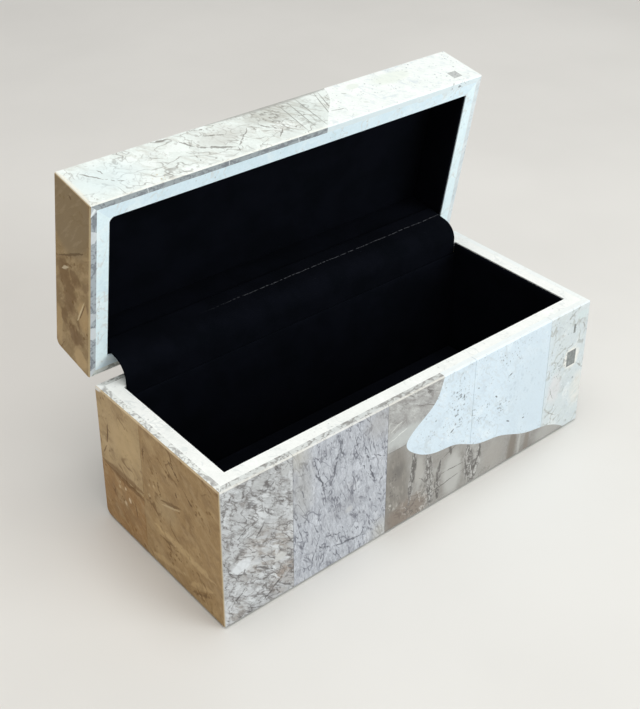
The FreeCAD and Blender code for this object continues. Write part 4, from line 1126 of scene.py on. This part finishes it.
# Velvet linings
# Ten pieces of black-blue cotton velvet, drawn over card and glued to the boards, five in the
# base and five in the lid. Their edges are soft, and they lie a little below the white rims.
PILE_STEP = 4 * MM
PILE_EDGE = 0.7 * MM
PILE_SWELL = 0.12 * MM
EDGE_ROW = 0.3 * PILE_EDGE
SWELL_FADE = 8 * MM
SWELL_WAVES = 45
SWELL_APART = 900
LID_AT_REST = (
    Matrix.Translation(PIN) @ Matrix.Rotation(-OPEN, 4, "X") @ Matrix.Translation(-PIN)
)


@node_group(PLACED | numbers(Kept=0.3), MASK)
def lint_group(tree, given):
    """Pale dust on cloth: single specks and a few short hairs."""
    dots = {"Place": given["Place"], "Cell": 9.0, "Size": 0.5, "Cloud": 30.0, "Kept": given["Kept"]}
    hairs = {"Place": given["Place"], "Cell": 17.0, "Width": 0.14, "Wander": 9.0, "Kept": 0.12}
    faint = calc(tree, "MULTIPLY", use(tree, crazing_group, **hairs)["Mask"], 0.5)
    return {"Mask": calc(tree, "MAXIMUM", use(tree, specks_group, **dots)["Mask"], faint)}


def velvet_finish(name, lid_turn=None):
    """Velvet by its place in the box, or by the flat strip's own measure where it bends."""
    material, tree, shader = new_material(name)
    if lid_turn is None:
        place = put(tree, "ShaderNodeUVMap", uv_map="strip_mm").outputs[0]
    else:
        place = use(tree, box_place_group, Lid_turn=lid_turn)["Place"]
    pile = cloud(tree, place, 3.5, 3.0, 0.7)
    nap = cloud(tree, place, 0.035, 3.0, 0.6)
    tone = over(tree, fade(tree, nap, 0.35, 0.65), srgb(4, 6, 11), srgb(8, 10, 17))
    tone = over(tree, fade(tree, pile, 0.55, 0.8), tone, srgb(13, 16, 24))
    lint = use(tree, lint_group, Place=place, Kept=0.3)["Mask"]
    tone = over(tree, calc(tree, "MULTIPLY", lint, 0.5), tone, srgb(120, 122, 126))
    join(tree, shader, Roughness=1.0, Specular_IOR_Level=0.05, Sheen_Weight=0.025)
    join(tree, shader, Sheen_Roughness=0.35, Sheen_Tint=srgb(110, 130, 170))
    join(tree, shader, Normal=bump(tree, pile, 0.5, 0.3 * MM))
    return material, tree, shader, tone, place


def closed_box(node, body):
    """A node's corners with the lid closed."""
    turn = LID_AT_REST.inverted() if body == "lid" else Matrix.Identity(4)
    points = [turn @ vertex.co for vertex in frame["nodes"][node].data.vertices]
    low = Vector([min(point[axis] for point in points) for axis in range(3)])
    high = Vector([max(point[axis] for point in points) for axis in range(3)])
    return low, high


def panel(low, high, thin, inward, turn, name, material):
    """A soft-edged cloth panel that fills a thin box and swells a little on its shown side."""
    shape = bmesh.new()
    across, along = (axis for axis in range(3) if axis != thin)
    back, face = (low[thin], high[thin]) if inward > 0 else (high[thin], low[thin])
    wide, long = high[across] - low[across], high[along] - low[along]
    rows = max(2, round(long / PILE_STEP))
    columns = max(2, round(wide / PILE_STEP))

    def stops(count, length):
        """Where the rows of points lie, from edge to edge."""
        inner = [PILE_EDGE + (length - 2 * PILE_EDGE) * step / count for step in range(count + 1)]
        return [0.0, EDGE_ROW, *inner, length - EDGE_ROW, length]

    def drop(out):
        """How far the edge has rolled back, by the distance from it."""
        share = max(0.0, 1.0 - out / PILE_EDGE)
        return PILE_EDGE * (1.0 - math.sqrt(max(0.0, 1.0 - share * share)))

    grid = []
    for v in stops(rows, long):
        line = []
        for u in stops(columns, wide):
            point = Vector((0.0, 0.0, 0.0))
            point[across] = low[across] + u
            point[along] = low[along] + v
            edge = min(u, wide - u, v, long - v)
            spot = Vector((u * SWELL_WAVES, v * SWELL_WAVES, low[thin] * SWELL_APART))
            swell = PILE_SWELL * noise.noise(spot) * min(1.0, edge / SWELL_FADE)
            point[thin] = face - inward * (drop(edge) + PILE_SWELL - swell)
            line.append(shape.verts.new(turn @ point))
        grid.append(line)
    bridge(shape, grid, closed=False)
    rim = [*grid[0], *(line[-1] for line in grid[1:-1]), *grid[-1][::-1]]
    rim += [line[0] for line in grid[-2:0:-1]]
    foot = []
    for vertex in rim:
        point = turn.inverted() @ vertex.co
        point[thin] = back
        foot.append(shape.verts.new(turn @ point))
    bridge(shape, [rim, foot])
    shape.faces.new(foot)
    bmesh.ops.recalc_face_normals(shape, faces=shape.faces[:])
    return new_piece(name, shape, material, smooth=True)


VELVET_TUCK = 0.8 * MM
END_SPARE = 0.1 * MM
for body, lid_turn, level, rise, level_board in (
    ("base", 0.0, "floor", 1, "base_bottom_board"),
    ("lid", OPEN, "ceiling", -1, "lid_top_board"),
):
    material, tree, shader, tone, place = velvet_finish(f"{body}_velvet", lid_turn)
    join(tree, shader, Base_Color=tone)
    rest = Matrix.Identity(4) if body == "base" else LID_AT_REST
    for side, thin, inward in (
        (level, 2, rise),
        ("front", 1, 1),
        ("back", 1, -1),
        ("left", 0, 1),
        ("right", 0, -1),
    ):
        node = f"{body}_lining_{side}"
        low, high = closed_box(node, body)
        if thin == 0:
            low.y += END_SPARE
            high.y -= END_SPARE
        if thin == 2:
            low -= Vector((VELVET_TUCK, VELVET_TUCK, 0))
            high += Vector((VELVET_TUCK, VELVET_TUCK, 0))
        cloth = panel(low, high, thin, inward, rest, f"{body}_velvet_{side}", material)
        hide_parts(node)
        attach(cloth, body)

# Filler in the lid's front corner
# A dab of white filler smoothed into the lid's front left corner, where the card under the velvet
# stops short, so that the velvet ends in a round corner. It is flush with the white strips.
FILLER_REACH = 5.0 * MM
FILLER_DEEP = 2.4 * MM
FILLER_SOFT = 0.35 * MM
FILLER_BITE = 0.1 * MM
FILLER_SUNK = 0.05 * MM
FILLER_STEPS = 14
corner = Vector((
    closed_box("lid_rim_left", "lid")[1].x - FILLER_BITE,
    closed_box("lid_rim_front", "lid")[1].y - FILLER_BITE,
    closed_box("lid_rim_front", "lid")[0].z,
))
shape = bmesh.new()
loops = []
for height, spare in ((FILLER_SUNK, FILLER_SOFT), (FILLER_SOFT, 0.0), (FILLER_DEEP, 0.0)):
    points = [corner + Vector((0, 0, height))]
    for step in range(FILLER_STEPS + 1):
        turn = math.pi * (1 + 0.5 * step / FILLER_STEPS)
        hollow = 1 + spare / FILLER_REACH
        along = FILLER_REACH * (1 + hollow * math.cos(turn))
        across = FILLER_REACH * (1 + hollow * math.sin(turn))
        points.append(corner + Vector((along, across, height)))
    loops.append([shape.verts.new(LID_AT_REST @ point) for point in points])
bridge(shape, loops)
for loop in (loops[0], loops[-1]):
    for before, after in zip(loop[1:], loop[2:]):
        shape.faces.new((loop[0], before, after))
bmesh.ops.recalc_face_normals(shape, faces=shape.faces[:])
filler = Stone("white_filler", (220, 235, 241), (228, 242, 248), (236, 247, 251), 4, True, "top", 0.1)
filler.specks(1.2, 0.6, (190, 200, 204), 0.6, 6.0, 0.5)
filler_piece = new_piece("lid_corner_filler", shape, filler.finish(0.5, (240, 244, 244), 0.3))
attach(filler_piece, "lid")

# Velvet strip over the hinges
# One strip of the same velvet, glued behind the base's lining and to the lid's, laid as it rolls
# over the hinges with the lid open. Pale lint has caught along the crease where it meets the lid.
STRIP_THICK = 1.0 * MM
ROLL_RADIUS = 12 * MM
ROLL_SWEEP = math.radians(80)
STRIP_TAIL_LOW = 91 * MM
STRIP_TAIL_TOP = 102.1 * MM
STRIP_TAIL_Y = 50.5 * MM
STRIP_LANDING = 16.5 * MM
STRIP_SIDE_SOFT = 1.2 * MM
STRIP_SIDE_THIN = 0.35
STRIP_SIDE_SPARE = 0.7 * MM
STRIP_SWAY = 0.35 * MM
SWAY_ACROSS, SWAY_ALONG, SWAY_DRAW = 22, 30, 3.7
STEPS_LONG, STEPS_WIDE, SIDE_ROW = 44, 96, 0.3
CREASE_LINT = 34.5
LINT_SWAY = 2.4
TAIL = STRIP_TAIL_TOP - STRIP_TAIL_LOW
ROLL = ROLL_RADIUS * ROLL_SWEEP


def strip_line(run):
    """A point of the strip's middle line and its outward normal, by the distance along it."""
    middle = Vector((0, STRIP_TAIL_Y + ROLL_RADIUS, STRIP_TAIL_TOP))
    if run < TAIL:
        return Vector((0, STRIP_TAIL_Y, STRIP_TAIL_LOW + run)), Vector((0, -1, 0))
    turn = min((run - TAIL) / ROLL_RADIUS, ROLL_SWEEP)
    out = Vector((0, -math.cos(turn), math.sin(turn)))
    point = middle + out * ROLL_RADIUS
    if run > TAIL + ROLL:
        point += Vector((0, out.z, -out.y)) * (run - TAIL - ROLL)
    return point, out


strip_long = TAIL + ROLL + STRIP_LANDING
low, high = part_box("hinge_velvet_flap")
low.x -= STRIP_SIDE_SPARE
high.x += STRIP_SIDE_SPARE
strip_wide = high.x - low.x
shape = bmesh.new()
flat_mm = shape.loops.layers.uv.new("strip_mm")
across = [0.0, SIDE_ROW, *range(1, STEPS_WIDE), STEPS_WIDE - SIDE_ROW, STEPS_WIDE]
sheets = []
where = {}
for face in (1, -1):
    grid = []
    for step in range(STEPS_LONG + 1):
        run = strip_long * step / STEPS_LONG
        middle, out = strip_line(run)
        ease = math.sin(math.pi * run / strip_long) ** 2
        line = []
        for share in across:
            x = low.x + strip_wide * share / STEPS_WIDE
            side = min(share, STEPS_WIDE - share) / STEPS_WIDE * strip_wide
            thin = min(1.0, STRIP_SIDE_THIN + side / STRIP_SIDE_SOFT)
            spot = Vector((x * SWAY_ACROSS, run * SWAY_ALONG, SWAY_DRAW))
            sway = STRIP_SWAY * ease * noise.noise(spot)
            point = middle + out * (face * STRIP_THICK / 2 * thin + sway)
            point.x = x
            vertex = shape.verts.new(point)
            where[vertex] = (x / MM - low.x / MM, run / MM)
            line.append(vertex)
        grid.append(line)
    sheets.append(grid)
front, rear = sheets
bridge(shape, front, closed=False)
bridge(shape, [line[::-1] for line in rear], closed=False)
for end in (0, -1):
    bridge(shape, (front[end], rear[end]), closed=False)
for end in (0, -1):
    bridge(shape, [[line[end] for line in sheet] for sheet in sheets], closed=False)
bmesh.ops.recalc_face_normals(shape, faces=shape.faces[:])
for face in shape.faces:
    for corner in face.loops:
        corner[flat_mm].uv = where[corner.vert]
material, tree, shader, tone, place = velvet_finish("strip_velvet")
parts = put(tree, "ShaderNodeSeparateXYZ", {0: place}).outputs
sway = calc(tree, "MULTIPLY", cloud(tree, place, 0.06, 3.0), LINT_SWAY)
height = calc(tree, "ADD", sway, CREASE_LINT - LINT_SWAY / 2)
apart = calc(tree, "ABSOLUTE", calc(tree, "SUBTRACT", parts[1], height))
crease = fade(tree, apart, 0.42, 0.12)
dashes = put(tree, "ShaderNodeCombineXYZ", {0: parts[0]}).outputs[0]
dashes = fade(tree, cloud(tree, dashes, 0.3, 3.0, 0.7), 0.42, 0.56)
dashes = calc(tree, "MULTIPLY", dashes, fade(tree, parts[0], 60.0, 130.0))
tone = over(tree, calc(tree, "MULTIPLY", crease, dashes), tone, srgb(84, 86, 90))
join(tree, shader, Base_Color=tone)
strip = new_piece("velvet_strip", shape, material, smooth=True)
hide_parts("hinge_velvet_flap")
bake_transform(strip)

# Floor and light
# A wide pale floor, and soft studio light: a broad lamp overhead, a cooler one from the front
# and right, and an even surround. The camera stands where the photograph was taken from.
FLOOR_HALF = 6.0
BOX_MIDDLE = Vector((0.0, 0.0, 0.1))
shape = bmesh.new()
bmesh.ops.create_grid(shape, x_segments=8, y_segments=8, size=FLOOR_HALF)


def floor_finish():
    material, tree, shader = new_material("pale_floor")
    place = put(tree, "ShaderNodeTexCoord").outputs["Object"]
    tint = fade(tree, cloud(tree, place, 3.0, 4.0), 0.3, 0.7)
    tone = over(tree, tint, srgb(214, 212, 208), srgb(220, 218, 214))
    join(tree, shader, Base_Color=tone, Roughness=0.6)
    return material


floor = new_piece("floor", shape, floor_finish())


def lamp(name, place, size, power, colour):
    """A round lamp that looks at the box, in metres and watts."""
    light = bpy.data.lights.new(name, "AREA")
    light.shape = "DISK"
    light.size = size
    light.energy = power
    light.color = colour
    holder = bpy.data.objects.new(name, light)
    holder.location = place
    holder.rotation_euler = (BOX_MIDDLE - Vector(place)).to_track_quat("-Z", "Y").to_euler()
    bpy.context.scene.collection.objects.link(holder)


lamp("overhead_lamp", (-0.1, -0.25, 2.0), size=1.6, power=21.5, colour=(1.0, 0.99, 0.97))
lamp("front_lamp", (0.9, -1.7, 0.9), size=1.4, power=21.5, colour=(0.89, 0.97, 1.0))

world = bpy.data.worlds.new("studio")
bpy.context.scene.world = world
world.use_nodes = True
tree = world.node_tree
surround = tree.nodes["Background"]
join(tree, surround, Color=(1.0, 0.985, 0.96, 1.0), Strength=0.54)
backdrop = put(tree, "ShaderNodeBackground", {"Color": srgb(206, 207, 208), "Strength": 1.0})
ray = put(tree, "ShaderNodeLightPath").outputs
shown = calc(tree, "MAXIMUM", ray["Is Camera Ray"], ray["Is Glossy Ray"])
shown = calc(tree, "MAXIMUM", shown, ray["Is Transmission Ray"])
either = put(tree, "ShaderNodeMixShader", {0: shown, 1: surround.outputs[0], 2: backdrop.outputs[0]})
tree.links.new(either.outputs[0], tree.nodes["World Output"].inputs["Surface"])

camera_data = bpy.data.cameras.new("camera")
camera_data.sensor_width = 36.0
camera_data.lens = 62.37
camera_data.shift_y = -0.1685
camera = bpy.data.objects.new("camera", camera_data)
camera.location = (-0.4346, -0.4825, 0.5295)
camera.rotation_euler = Euler([math.radians(turn) for turn in (61.33, -0.19, -39.85)])
bpy.context.scene.collection.objects.link(camera)
bpy.context.scene.camera = camera
bpy.context.scene.view_settings.view_transform = "Standard"
